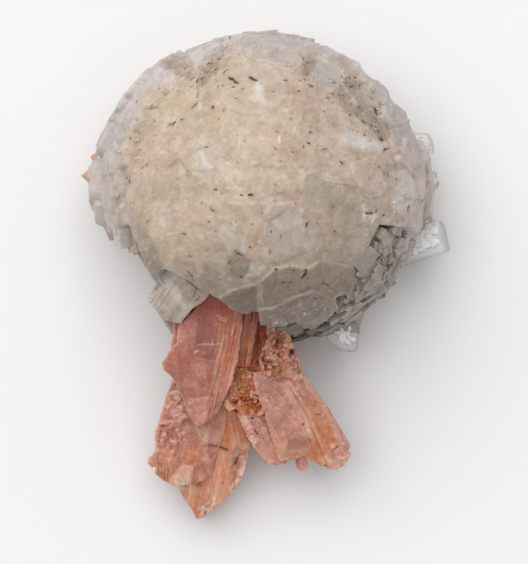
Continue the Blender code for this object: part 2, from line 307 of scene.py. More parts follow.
def cellNoise(p, size, seed):
    # One jittered point in each lattice cell: how much farther the second nearest is than the nearest, a number from
    # 0 to 1 that belongs to the nearest, and the way from it.
    q = p / size
    corner = np.floor(q).astype(np.int64)
    first, second = np.full(len(p), 9.0), np.full(len(p), 9.0)
    own, way = np.zeros(len(p)), np.zeros((len(p), 3))
    for dx in (-1, 0, 1):
        for dy in (-1, 0, 1):
            for dz in (-1, 0, 1):
                cell = corner + (dx, dy, dz)
                spot = [cell[:, k] + latticeNumber(*cell.T, seed + k) for k in range(3)]
                away = np.sqrt(sum((q[:, k] - spot[k]) ** 2 for k in range(3)))
                closer = away < first
                second = np.where(closer, first, np.minimum(second, away))
                own = np.where(closer, latticeNumber(*cell.T, seed + 9), own)
                way = np.where(closer[:, None], q - np.stack(spot, axis=-1), way)
                first = np.where(closer, away, first)
    return (second - first) * size, own, way * size


def tiltedCells(own, way, slope):
    # each cell is a flat that leans its own way, by up to the slope; its own number sets both
    turn, steep = own * 997.0, slope * (0.3 + 0.7 * (own * 89.0 % 1))
    return steep * (way[:, 0] * np.cos(turn) + way[:, 1] * np.sin(turn))


# The leifite ball

ballLook = {
    "crownCells": 280,  # points across the square grid that becomes the crown
    "bandRows": 15,  # rows from the crown's edge to the flat cut
    "domeReach": 11.12,  # mm from the ball's middle to the smooth front
    "facets": ((2.6, 0.03, 0.040), (0.9, 0.018, 0.055)),  # size, step and slope of the large and the small ones
    "frontFrom": 14,  # elevation in degrees above which a rim plate lies on the front
    "cliff": 2.4,  # how steeply a rim plate's side falls
    "seed": 5,
}
# the dome's border, seen from the front; outside it the ball is sunk
domeBorder = fromFront((
    (30, 231), (112, 231), (129, 227), (133, 237), (139, 251), (148, 273), (154, 277), (165, 271), (174, 274),
    (186, 281), (199, 290), (207, 295), (220, 302), (234, 311), (247, 316), (252, 313), (258, 313), (259, 325),
    (273, 327), (286, 327), (296, 322), (301, 328), (313, 329), (325, 320), (337, 309), (336, 298), (348, 294),
    (356, 281), (353, 267), (360, 262), (367, 248), (377, 227), (398, 230), (415, 227), (433, 222), (520, 222),
    (520, -60), (30, -60)))
# sunk sectors: bearings from and to, reach in mm
sunkSectors = ((150, 236, 9.75), (236, 288, 8.7), (288, 352, 9.85), (352, 372, 9.9))
# how far the dome's rim stands out or in, in mm, at bearings in degrees
rimOutline = ((20, 0), (28, -0.25), (45, -0.35), (52, -0.65), (60, -0.35), (69, -0.55), (76, -0.5), (81, 0), (101, 0),
              (105, -0.25), (108, 0), (124, 0), (130, 0.55), (184, 0.5), (190, 0))
# rim plates: bearing and elevation in degrees, width and reach in mm, number of sides
rimPlates = (
    (86, 12, 5.4, 10.98, 6), (103, 5, 2.4, 10.85, 6), (115, 6, 3.4, 11.3, 6), (130, 4, 2.6, 11.85, 6),
    (139, 5, 2.6, 12.0, 6), (151, 3, 2.8, 12.05, 6), (159.5, 4, 2.7, 12.1, 6), (176, 5, 2.6, 12.25, 6),
    (184, 3, 2.0, 11.95, 4), (189, 4, 1.7, 11.25, 4), (9, 6, 2.6, 11.6, 6), (20, 8, 3.8, 11.0, 6),
    (36, 9, 4.4, 10.75, 6), (51, 5, 2.4, 10.2, 6), (60, 7, 2.8, 10.6, 6), (70, 7, 2.6, 10.55, 6),
    (359, 4, 3.2, 11.65, 6), (346, 12, 3.0, 10.9, 6), (99, 30, 3.6, 11.22, 6), (84, 30, 3.8, 11.26, 5),
    (122, 24, 3.6, 11.30, 5), (137, 22, 3.4, 11.45, 6), (150, 21, 3.2, 11.55, 5), (163, 22, 3.4, 11.62, 6),
    (176, 20, 3.4, 11.55, 5), (187, 18, 2.4, 11.32, 4), (62, 26, 4.4, 11.22, 6), (44, 28, 4.4, 11.25, 7),
    (26, 24, 4.0, 11.30, 6), (8, 24, 4.0, 11.40, 5), (354, 20, 2.8, 11.30, 5), (108, 18, 2.6, 11.15, 5),
    (74, 17, 3.0, 11.05, 5),
)
# patches: corners on the front grid, lift in mm, tone, its strength, grain, border
ballPatches = (
    (((143, 100), (165, 92), (190, 103), (206, 118), (186, 124), (165, 119), (143, 112)), 0.0, "straw", 0.65, 0, 0),
    (((206, 122), (235, 120), (262, 124), (262, 136), (235, 138), (210, 134)), 0.0, "straw", 0.5, 0, 0),
    (((219, 97), (221, 106), (230, 115), (244, 121), (263, 119), (280, 112), (288, 100), (284, 84), (276, 75),
      (262, 71), (246, 68), (232, 66), (222, 74), (218, 86)), 0.10, "rosy", 0.45, 0, 0.3),
    (((244, 55), (248, 63), (258, 69), (267, 70), (281, 76), (292, 78), (301, 70), (298, 60), (303, 48), (298, 36),
      (275, 30), (243, 32)), 0.16, "lilac", 0.8, 0, 0.7),
    (((190, 58), (204, 54), (218, 41), (223, 50), (207, 61), (198.5, 79)), 0.12, "paleLilac", 0.9, 0, 0.6),
    (((180, 57), (218, 40), (219, 45), (197, 54), (186, 60)), 0.0, "slate", 0.5, 0, 0),
    (((165, 65), (189, 58), (197, 78), (192, 88), (176, 82), (165, 72)), -0.04, "stainAndShade", 0.7, 0.3, 0),
    (((208, 61), (224, 50), (236, 50), (232, 58), (224, 64), (216, 78), (209, 92), (198, 96), (200, 82), (205, 70)),
     -0.05, "stainAndShade", 0.7, 0.4, 0),
    (((157, 82), (160, 75), (168, 73), (176, 78), (177, 87), (170, 92), (161, 90)), 0.06, "paleLilac", 0.6, 0, 0.5),
    (((124, 180), (132, 178), (132, 190), (123, 190)), 0.03, "green", 0.5, 0, 0.2),
    (((200, 151), (205, 157), (211, 169), (217, 173), (209, 176), (203, 165)), 0.03, "frost", 0.8, 0.5, 0),
    (((197, 108), (203, 106), (205, 114), (202, 120), (197, 116)), 0.02, "pale", 0.6, 0.2, 0),
    (((256, 87), (264, 91), (266, 110), (255, 108), (247, 106), (254, 100)), 0.03, "frost", 0.9, 0.5, 0),
    (((309, 75), (317, 68), (334, 70), (342, 77), (345, 84), (336, 92), (330, 98), (319, 93), (312, 85)), 0.12,
     "lilac", 0.85, 0, 0.7),
    (((298, 80), (303, 71), (309, 62), (318, 67), (311, 79), (306, 84)), -0.05, "stainAndShade", 0.75, 0.2, 0.2),
    (((322, 62), (346, 60), (352, 74), (344, 79), (334, 70)), -0.03, "stainAndShade", 0.6, 0.2, 0),
    (((330, 98), (342, 91), (351, 81), (359, 88), (361, 98), (365, 106), (373, 112), (377, 122), (385, 133),
      (387, 145), (379, 144), (365, 132), (355, 126), (342, 118), (334, 109)), -0.05, "dusk", 0.8, 0.1, 0.2),
    (((334, 55), (344, 56), (352, 66), (360, 78), (358, 83), (349, 77), (342, 68)), 0.08, "paleLilac", 0.7, 0, 0.6),
    (((369, 86), (378, 84), (392, 96), (404, 114), (402, 126), (386, 133), (377, 122), (369, 102), (363, 98)), 0.16,
     "lilac", 0.85, 0, 0.8),
    (((375, 112), (379, 113), (388, 129), (384, 131)), 0.06, "pale", 0.8, 0.1, 0.3),
    (((386, 135), (403, 123), (415, 138), (426, 156), (419, 162), (404, 176), (392, 165), (386, 150)), 0.15, "lilac",
     0.8, 0, 0.8),
    (((410, 164), (424, 158), (434, 186), (435, 216), (430, 228), (416, 228), (409, 212), (415, 181)), 0.12, "lilac",
     0.8, 0.1, 0.7),
    (((335, 140), (344, 135), (369, 140), (382, 147), (377, 156), (358, 156), (338, 150)), 0.02, "frost", 0.7, 0.5,
     0.2),
    (((345, 168), (352, 184), (361, 199), (370, 206), (381, 211), (393, 212), (402, 222), (390, 230), (440, 230),
      (440, 150), (400, 150), (370, 160)), 0.09, "rosy", 0.4, 0, 0.5),
    (((388, 176), (402, 170), (412, 188), (408, 212), (396, 218), (386, 206), (392, 190)), 0.03, "frost", 0.5, 0.6, 0),
    (((300, 187), (304, 178), (317, 176), (323, 184), (341, 186), (352, 188), (361, 201), (376, 211), (379, 228),
      (371, 240), (366, 252), (352, 266), (336, 262), (318, 262), (306, 250), (298, 225)), 0.07, "dusk", 0.30, 0, 0.1),
    (((263, 220), (272, 208), (291, 205), (300, 222), (308, 244), (302, 254), (281, 262), (265, 244)), 0.06, "lilac",
     0.45, 0.1, 0.1),
    # painted shade: the shade patches darken the lower dome, away from the light
    (((227, 261), (238, 252), (252, 261), (252, 274), (241, 280), (227, 278)), -0.06, "shade", 0.6, 0.1, 0.3),
    (((252, 264), (264, 266), (257, 278), (245, 277)), 0.03, "frost", 0.7, 0.6, 0),
    (((243, 236), (261, 236), (261, 250), (247, 252)), 0.0, "blush", 0.5, 0, 0),
    (((262, 130), (300, 128), (306, 165), (280, 172), (264, 158)), 0.0, "blush", 0.30, 0, 0),
    (((220, 298), (231, 290), (259, 283), (259, 314), (247, 317), (234, 312)), 0.12, "shade", 0.75, 0.1, 0.5),
    (((259, 279), (273, 268), (291, 266), (306, 268), (316, 262), (334, 264), (351, 266), (357, 279), (349, 295),
      (331, 298), (313, 292), (295, 296), (263, 305)), 0.16, "shade", 0.55, 0.1, 0.7),
    (((259, 308), (273, 306), (291, 296), (311, 290), (331, 297), (338, 308), (325, 321), (313, 330), (299, 329),
      (296, 323), (286, 328), (259, 326)), 0.16, "mauve", 0.7, 0.15, 0.9),
    (((207, 262), (227, 276), (224, 290), (207, 294), (196, 286)), 0.05, "dusk", 0.4, 0.1, 0.2),
    (((129, 226), (141, 226), (163, 249), (168, 273), (148, 275), (140, 256)), 0.0, "dusk", 0.8, 0.2, 0),
    (((131, 232), (140, 230), (152, 244), (141, 250)), 0.05, "lilac", 0.4, 0.1, 0.4),
    (((141, 252), (154, 247), (168, 270), (150, 274)), 0.06, "dusk", 0.5, 0.2, 0.4),
    (((178, 258), (200, 262), (206, 292), (190, 282), (168, 268)), 0.05, "dusk", 0.4, 0.2, 0.2),
    (((96, 150), (134, 150), (134, 178), (136, 220), (128, 230), (90, 230)), 0.07, "lilac", 0.45, 0, 0.45),
    (((136, 130), (150, 120), (166, 140), (160, 170), (140, 175)), 0.0, "blush", 0.25, 0, 0),
    (((355, 208), (362, 205), (372, 214), (368, 224), (360, 222)), -0.06, "frost", 0.5, 0.9, 0),
    (((322, 205), (345, 205), (350, 240), (328, 245)), 0.0, "dusk", 0.3, 0, 0),
)
# screen colours, all darkened alike; shade and deep serve as painted shade
leifiteTones = {name: linearColour(*colour) * 0.86 for name, colour in {
    "beige": (202, 179, 157), "cream": (210, 190, 166), "straw": (206, 184, 153), "rosy": (212, 189, 172),
    "blush": (198, 160, 138), "lilac": (196, 182, 175), "paleLilac": (214, 203, 199), "slate": (170, 164, 161),
    "stainAndShade": (156, 126, 104), "dusk": (166, 146, 129), "shade": (142, 119, 101), "mauve": (160, 136, 124),
    "green": (192, 187, 154), "frost": (228, 220, 209), "pale": (226, 214, 202), "deep": (84, 68, 58),
    "greyBrown": (166, 153, 142), "speck": (54, 36, 24), "white": (240, 234, 226)}.items()}
# thin pale seams where crystal ends meet: chains on the front grid
ballSeams = (
    ((345, 168), (352, 184), (361, 199), (370, 206), (381, 211), (393, 212), (402, 222)),
    ((301, 186), (306, 178), (317, 176), (328, 158), (327, 139), (331, 121), (340, 112)),
    ((317, 176), (323, 184), (341, 187), (352, 189)),
    ((290, 103), (292, 119), (298, 135), (297, 144)),
    ((246, 121), (248, 135)), ((221, 106), (230, 115), (244, 121)),
    ((244, 55), (248, 63), (258, 69), (267, 70), (281, 76), (292, 78), (301, 70)),
    ((263, 220), (272, 208), (291, 205)), ((265, 244), (263, 221)), ((266, 245), (281, 262)),
    ((259, 283), (273, 268), (291, 266), (306, 268), (316, 262)), ((259, 283), (259, 312)),
    ((260, 308), (273, 306), (291, 296), (311, 290), (331, 297)), ((220, 298), (231, 290), (259, 283)),
    ((348, 264), (352, 250), (366, 240)), ((351, 266), (357, 279)), ((136, 178), (135, 200), (133, 222)),
    ((214, 121), (206, 118), (200, 120)), ((384, 131), (390, 150), (404, 176)), ((386, 133), (404, 123)),
    ((404, 176), (420, 162)), ((309, 75), (319, 93), (330, 98)), ((200, 292), (206, 280), (224, 276)),
)
# dark strokes inside the crystal: grid place, turn in degrees, length and width in mm
ballMarks = (
    (175, 129, 28, 0.45, 0.13), (197, 111, 42, 0.40, 0.12), (214, 113, 70, 0.10, 0.16), (138, 104, 60, 0.16, 0.14),
    (140, 123, 0, 0.05, 0.14), (134, 141, 0, 0.04, 0.12), (142, 136, 50, 0.14, 0.10), (124, 156, 0, 0.06, 0.14),
    (123, 127, 0, 0.05, 0.12), (131, 180, 80, 0.14, 0.10), (150, 169, 0, 0.04, 0.12), (143, 154, 0, 0.04, 0.10),
    (218, 193, 0, 0.08, 0.14), (187, 72, 70, 0.14, 0.13), (171, 70, 20, 0.16, 0.12), (211, 69, 20, 0.28, 0.10),
    (194, 83, 50, 0.30, 0.09), (199, 86, 70, 0.26, 0.12), (203, 85, -60, 0.18, 0.09), (209, 78, 10, 0.20, 0.10),
    (217, 75, 60, 0.30, 0.11), (184, 125, 0, 0.04, 0.12), (225, 117, 75, 0.16, 0.09), (245, 147, 0, 0.04, 0.09),
    (235, 87, -38, 0.62, 0.22), (234, 93, 0, 0.10, 0.14), (254, 86, -34, 0.42, 0.20), (243, 96, 0, 0.04, 0.12),
    (232, 84, -20, 0.20, 0.24), (251, 84, 0, 0.14, 0.20), (273, 98, 0, 0.05, 0.10), (297, 98, 0, 0.08, 0.15),
    (299, 87, 0, 0.05, 0.11), (307, 68, 0, 0.05, 0.12), (306, 80, 0, 0.05, 0.12), (307, 86, 0, 0.04, 0.10),
    (309, 92, -30, 0.22, 0.12), (286, 72, 80, 0.14, 0.09), (285, 87, 0, 0.22, 0.08), (332, 88, -20, 0.14, 0.12),
    (340, 81, 0, 0.04, 0.14), (347, 82, 0, 0.08, 0.16), (352, 81, 10, 0.20, 0.15), (342, 88, 20, 0.18, 0.14),
    (349, 91, 0, 0.32, 0.13), (357, 90, 40, 0.10, 0.14), (337, 101, -10, 0.20, 0.12), (341, 101, 0, 0.05, 0.12),
    (325, 104, 40, 0.12, 0.13), (371, 96, -30, 0.12, 0.15), (369, 103, -50, 0.26, 0.12), (377, 110, -52, 0.34, 0.10),
    (373, 115, -70, 0.42, 0.20), (360, 126, -40, 0.14, 0.16), (368, 130, 60, 0.14, 0.17), (375, 136, -60, 0.18, 0.16),
    (379, 142, -50, 0.18, 0.24), (382, 153, 20, 0.28, 0.15), (393, 158, -50, 0.18, 0.09), (321, 118, 0, 0.05, 0.12),
    (290, 125, 0, 0.08, 0.12), (309, 139, 0, 0.10, 0.16), (307, 149, -30, 0.16, 0.12), (302, 152, -60, 0.10, 0.12),
    (322, 155, 0, 0.22, 0.14), (291, 158, 0, 0.04, 0.10), (339, 167, -30, 0.18, 0.13), (276, 138, 0, 0.12, 0.10),
    (375, 171, 0, 0.08, 0.12), (381, 177, 80, 0.22, 0.09), (384, 177, 80, 0.22, 0.09), (393, 182, 0, 0.08, 0.12),
    (252, 200, 0, 0.14, 0.24), (215, 213, -45, 0.30, 0.11), (150, 224, 0, 0.04, 0.10), (187, 235, 0, 0.22, 0.10),
    (211, 224, 0, 0.04, 0.10), (305, 227, 62, 0.34, 0.15), (332, 234, 0, 0.05, 0.10), (240, 255, 0, 0.18, 0.12),
    (243, 256, -40, 0.16, 0.11), (251, 249, 0, 0.08, 0.12), (236, 252, 0, 0.08, 0.11), (231, 263, 70, 0.26, 0.13),
    (157, 251, 0, 0.10, 0.12), (193, 257, 0, 0.14, 0.10), (193, 275, -60, 0.46, 0.17), (196, 280, -50, 0.18, 0.09),
    (242, 269, 0, 0.04, 0.10), (232, 270, 0, 0.04, 0.10), (242, 277, 0, 0.10, 0.16), (241, 288, 0, 0.05, 0.10),
    (275, 270, 0, 0.08, 0.13), (292, 271, 0, 0.10, 0.13), (282, 283, 0, 0.14, 0.14), (289, 282, 0, 0.34, 0.07),
    (303, 275, 66, 0.55, 0.19), (325, 285, -42, 0.72, 0.11), (240, 305, 0, 0.05, 0.12), (280, 306, 0, 0.05, 0.11),
    (289, 306, 0, 0.05, 0.11), (295, 303, 0, 0.05, 0.11), (313, 298, 0, 0.14, 0.11), (311, 308, 60, 0.34, 0.09),
    (365, 215, 10, 0.26, 0.20), (324, 252, 0, 0.10, 0.09), (204, 206, 0, 0.04, 0.09), (275, 190, -60, 0.14, 0.07),
    (262, 216, 0, 0.04, 0.09), (280, 238, 60, 0.18, 0.07), (270, 253, 80, 0.26, 0.09), (200, 100, 60, 0.18, 0.08),
    (224, 92, 0, 0.05, 0.10), (170, 96, 0, 0.04, 0.09), (155, 112, 10, 0.5, 0.05), (120, 190, -60, 0.28, 0.08),
    (133, 184, 75, 0.24, 0.08), (121, 200, 20, 0.28, 0.09), (104, 180, -70, 0.40, 0.06), (410, 178, -60, 0.26, 0.09),
    (423, 222, -70, 0.75, 0.09), (406, 150, -60, 0.6, 0.07), (416, 200, 80, 0.5, 0.07), (405, 210, 80, 0.5, 0.12),
    (137, 205, 0, 0.04, 0.09), (190, 180, 0, 0.05, 0.07), (330, 210, 0, 0.04, 0.08), (315, 225, 0, 0.04, 0.07),
)
# bright strokes and grains on the surface, the same way
ballSparks = (
    (230, 192, 0, 0.05, 0.14), (222, 165, 30, 0.10, 0.10), (241, 193, 0, 0.06, 0.09), (203, 187, 40, 0.10, 0.10),
    (226, 146, -40, 0.16, 0.10), (224, 98, 0, 0.06, 0.14), (293, 136, 60, 0.08, 0.12), (388, 167, 20, 0.12, 0.11),
    (399, 195, 0, 0.12, 0.14), (417, 225, 30, 0.22, 0.16), (410, 226, 0, 0.10, 0.10), (362, 218, 0, 0.12, 0.14),
    (368, 219, 30, 0.10, 0.12), (362, 236, 0, 0.05, 0.10), (260, 243, 0, 0.05, 0.12), (188, 100, 12, 0.32, 0.07),
    (279, 145, 85, 0.36, 0.20), (222, 138, 50, 0.2, 0.05), (229, 168, -10, 0.3, 0.07), (213, 171, -50, 0.3, 0.16),
    (205, 160, -65, 0.5, 0.10), (303, 312, 0, 0.06, 0.10), (275, 322, 20, 0.3, 0.06), (186, 84, 60, 0.3, 0.06),
    (253, 55, 10, 0.30, 0.10), (396, 165, 0, 0.05, 0.08), (160, 208, 10, 0.2, 0.06), (172, 236, 30, 0.18, 0.07),
    (181, 234, 10, 0.16, 0.05), (125, 207, 40, 0.3, 0.3), (315, 250, 60, 0.14, 0.07), (335, 190, 0, 0.05, 0.07),
)


def directionOf(bearing, elevation):
    # the way out from the ball's middle, for angles in degrees
    b, e = np.radians(bearing), np.radians(elevation)
    return np.stack([np.cos(b) * np.cos(e), np.sin(b) * np.cos(e), np.sin(e)], axis=-1)


def plateTable():
    # each rim plate's middle, normal, tangents, side angles, side distances and reach
    rng = np.random.default_rng(ballLook["seed"])
    table = []
    for bearing, elevation, width, reach, sides in rimPlates:
        middle = directionOf(bearing, elevation)
        first = np.cross([0, 0, 1], middle)
        first /= np.linalg.norm(first)
        second = np.cross(middle, first)
        lean = rng.normal(0, 0.015, 2)
        onFront = elevation > ballLook["frontFrom"]
        if onFront:  # these stand out less
            reach = ballLook["domeReach"] + 0.5 * (reach - ballLook["domeReach"])
        normal = middle + first * lean[0] + second * (lean[1] + (0.05 if onFront else 0.04))
        normal /= np.linalg.norm(normal)
        angles = (np.arange(sides) + rng.uniform(-0.15, 0.15, sides) + 0.5) * 2 * math.pi / sides
        across = width / 2 * rng.uniform(0.9, 1.1, sides)
        table.append((middle, normal, first, second, angles, across, reach, width))
    return table


def ballSurface(direction):
    # The skin's reach along each direction: a smooth dome with cracks between low facets, sunk outside the dome's
    # border, and over it the rim plates, each a tilted flat whose sides fall steeply.
    bearing = np.degrees(np.arctan2(direction[:, 1], direction[:, 0])) % 360
    at = direction * ballLook["domeReach"]
    xy = at[:, :2] * (1 + 0.004 * layeredNoise(at, 1.5, 2, 2))[:, None]
    front = direction[:, 2] > 0
    sunk = np.full(len(direction), ballLook["domeReach"] - 0.25)
    for start, end, reach in sunkSectors:
        inside = ramp(bearing, start - 2, start + 2) * ramp(bearing, end + 2, end - 2)
        inside = np.maximum(inside, ramp(bearing + 360, start - 2, start + 2) * ramp(bearing + 360, end + 2, end - 2))
        sunk = sunk + (reach - sunk) * inside
    border = polygonDistance(xy + 0.10 * np.stack([layeredNoise(at, 0.8, 3, 4), layeredNoise(at, 0.8, 3, 6)], -1),
                             domeBorder)
    outside = np.maximum(ramp(border, -0.06, 0.10), ramp(-direction[:, 2], -0.02, 0.06) * ~front)
    warped = at + 0.35 * np.stack([layeredNoise(at, 1.3, 3, s) for s in (51, 52, 53)], axis=-1)
    (size, step, slope), (smallSize, smallStep, smallSlope) = ballLook["facets"]
    gap, own, way = cellNoise(warped, size, 60)
    smallGap, smallOwn, smallWay = cellNoise(warped, smallSize, 70)
    facets = step * (own - 0.5) + smallStep * (smallOwn - 0.5)
    facets = facets + tiltedCells(own, way, slope) + tiltedCells(smallOwn, smallWay, smallSlope)
    dome = ballLook["domeReach"] + 0.05 * layeredNoise(at, 3.0, 3, 3) + facets
    dome = dome - 0.16 * np.exp(-np.maximum(-border, 0) / 0.35) * front
    distance = np.hypot(at[:, 0], at[:, 1])
    swell = np.interp(bearing, *np.array(rimOutline).T)
    dome = dome + swell * np.where(swell > 0, ramp(distance, 10.2, 11.0), ramp(distance, 8.8, 10.9))
    reach = dome + (sunk + facets - dome) * outside
    owner = np.full(len(direction), -1)
    edge = np.full(len(direction), 9.0)
    for i, (middle, normal, first, second, angles, across, plateReach, width) in enumerate(plates):
        cosine = direction @ middle
        close = np.nonzero(cosine > math.cos((width * 0.8 + 0.6) / 11.0))[0]
        d = direction[close]
        flat = d / cosine[close, None] * plateReach  # where each direction meets the plate's own plane
        along = np.stack([flat @ first, flat @ second], axis=-1)
        along += 0.07 * np.stack([smoothNoise(flat, 0.8, 40 + i), smoothNoise(flat, 0.8, 90 + i)], axis=-1)
        pull = (along[:, 0:1] * np.cos(angles) + along[:, 1:2] * np.sin(angles)) / across
        beyond = (np.sum(np.maximum(pull, 0) ** 26, axis=1) ** (1 / 26) - 1) * across.mean()
        top = plateReach * (normal @ middle) / (d @ normal)
        height = top - 0.10 * np.clip(beyond / 0.16 + 1, 0, 1) ** 2 - ballLook["cliff"] * np.maximum(beyond, 0)
        higher = (height > reach[close]) & (beyond < 0.6)
        won = close[higher]
        reach[won] = height[higher]
        owner[won] = i
        edge[won] = np.abs(beyond[higher])
    return reach, owner, edge, border, gap, own, smallGap, smallOwn


plates = plateTable()


def discGrid(cells):
    # a square grid pulled round into a disc: every square ring becomes a circle
    a, b = np.meshgrid(np.linspace(-1, 1, cells), np.linspace(-1, 1, cells))
    wide = np.abs(a) > np.abs(b)
    long = np.where(wide, a, b)
    turn = math.pi / 4 * np.where(wide, b, a) / np.where(long == 0, 1, long)
    bearing = np.where(wide, turn, math.pi / 2 - turn)
    return long * np.cos(bearing), long * np.sin(bearing)


def ballGrid():
    # The crown is a disc grid spread over the top, closest together at the front; a band of rings goes on from its
    # edge past the flat cut, and a fan closes the cut.
    cells, rows = ballLook["crownCells"], ballLook["bandRows"]
    x, y = discGrid(cells)
    table = np.linspace(0, math.radians(100), 500)
    spread = 0.7 * np.sin(table) + 0.3 * table
    polar = np.interp(np.hypot(x, y), spread / spread[-1], table).ravel()
    bearing = np.arctan2(y, x).ravel()
    index = np.arange(cells * cells).reshape(cells, cells)
    ring = np.concatenate([index[0, :-1], index[:-1, -1], index[-1, :0:-1], index[:0:-1, 0]])
    lower = np.linspace(math.radians(100), math.radians(129), rows + 1)[1:]
    polar = np.concatenate([polar, np.repeat(lower, len(ring))])
    bearing = np.concatenate([bearing, np.tile(bearing[ring], rows)])
    direction = np.stack([np.sin(polar) * np.cos(bearing), np.sin(polar) * np.sin(bearing), np.cos(polar)], axis=-1)
    crown = gridFaces(cells, cells)
    order = np.concatenate([ring, np.arange(cells * cells, cells * cells + rows * len(ring))])
    band = order[gridFaces(rows + 1, len(ring), closed=True)]
    last = order[-len(ring):]
    fan = np.stack([last, np.full(len(last), len(direction)), np.roll(last, -1)], axis=-1)
    return direction, crown, band, fan


scatterLook = {
    "flecks": 300, "fleckSeed": 91,
    "beltShare": 0.75,  # how many of the flecks lie in the belts
    "belts": (35, 50, 62, 112, 125, 160),  # bearings of the belts in degrees
    "fibres": 900, "fibreSeed": 17,
}


def scatterFlecks():
    # tiny dark grains, commonest in the brown belts inside the upper rim
    rng = np.random.default_rng(scatterLook["fleckSeed"])
    n = scatterLook["flecks"]
    belts = rng.uniform(size=n) < scatterLook["beltShare"]
    inBelts = rng.choice(scatterLook["belts"], n) + rng.normal(0, 7, n)
    bearing = np.where(belts, inBelts, rng.uniform(0, 360, n))
    away = np.where(belts, rng.normal(8.9, 0.8, n), 9.5 * np.sqrt(rng.uniform(size=n)))
    x, y = away * np.cos(np.radians(bearing)), away * np.sin(np.radians(bearing))
    size = 0.045 + 0.07 * rng.uniform(size=n) ** 3
    return list(zip(x, y, rng.uniform(0, 180, n), size * rng.uniform(0.3, 2.2, n), size))


def scatterFibres():
    # short pale fibres and clouds all over the front
    rng = np.random.default_rng(scatterLook["fibreSeed"])
    n = scatterLook["fibres"]
    bearing, away = rng.uniform(0, 2 * math.pi, n), 10.4 * np.sqrt(rng.uniform(size=n))
    x, y = away * np.cos(bearing), away * np.sin(bearing)
    turn = 30 + 60 * layeredNoise(np.stack([x, y, 0 * x], -1), 3.0, 2, 8) + rng.normal(0, 25, n)
    return list(zip(x, y, turn, rng.uniform(0.05, 0.5, n), rng.uniform(0.04, 0.12, n)))


def seamStrokes():
    # every side of the seam chains as a thin stroke
    strokes = []
    for chain in ballSeams:
        corners = fromFront(chain)
        for a, b in zip(corners[:-1], corners[1:]):
            side = b - a
            strokes.append((*((a + b) / 2), math.degrees(math.atan2(side[1], side[0])), np.hypot(*side), 0.07))
    return strokes


def markPlaces(marks):
    # the same marks with their places in mm
    table = np.array(marks, dtype=float).reshape(-1, 5)
    return [(*place, *rest) for place, rest in zip(fromFront(table[:, :2]), table[:, 2:])]


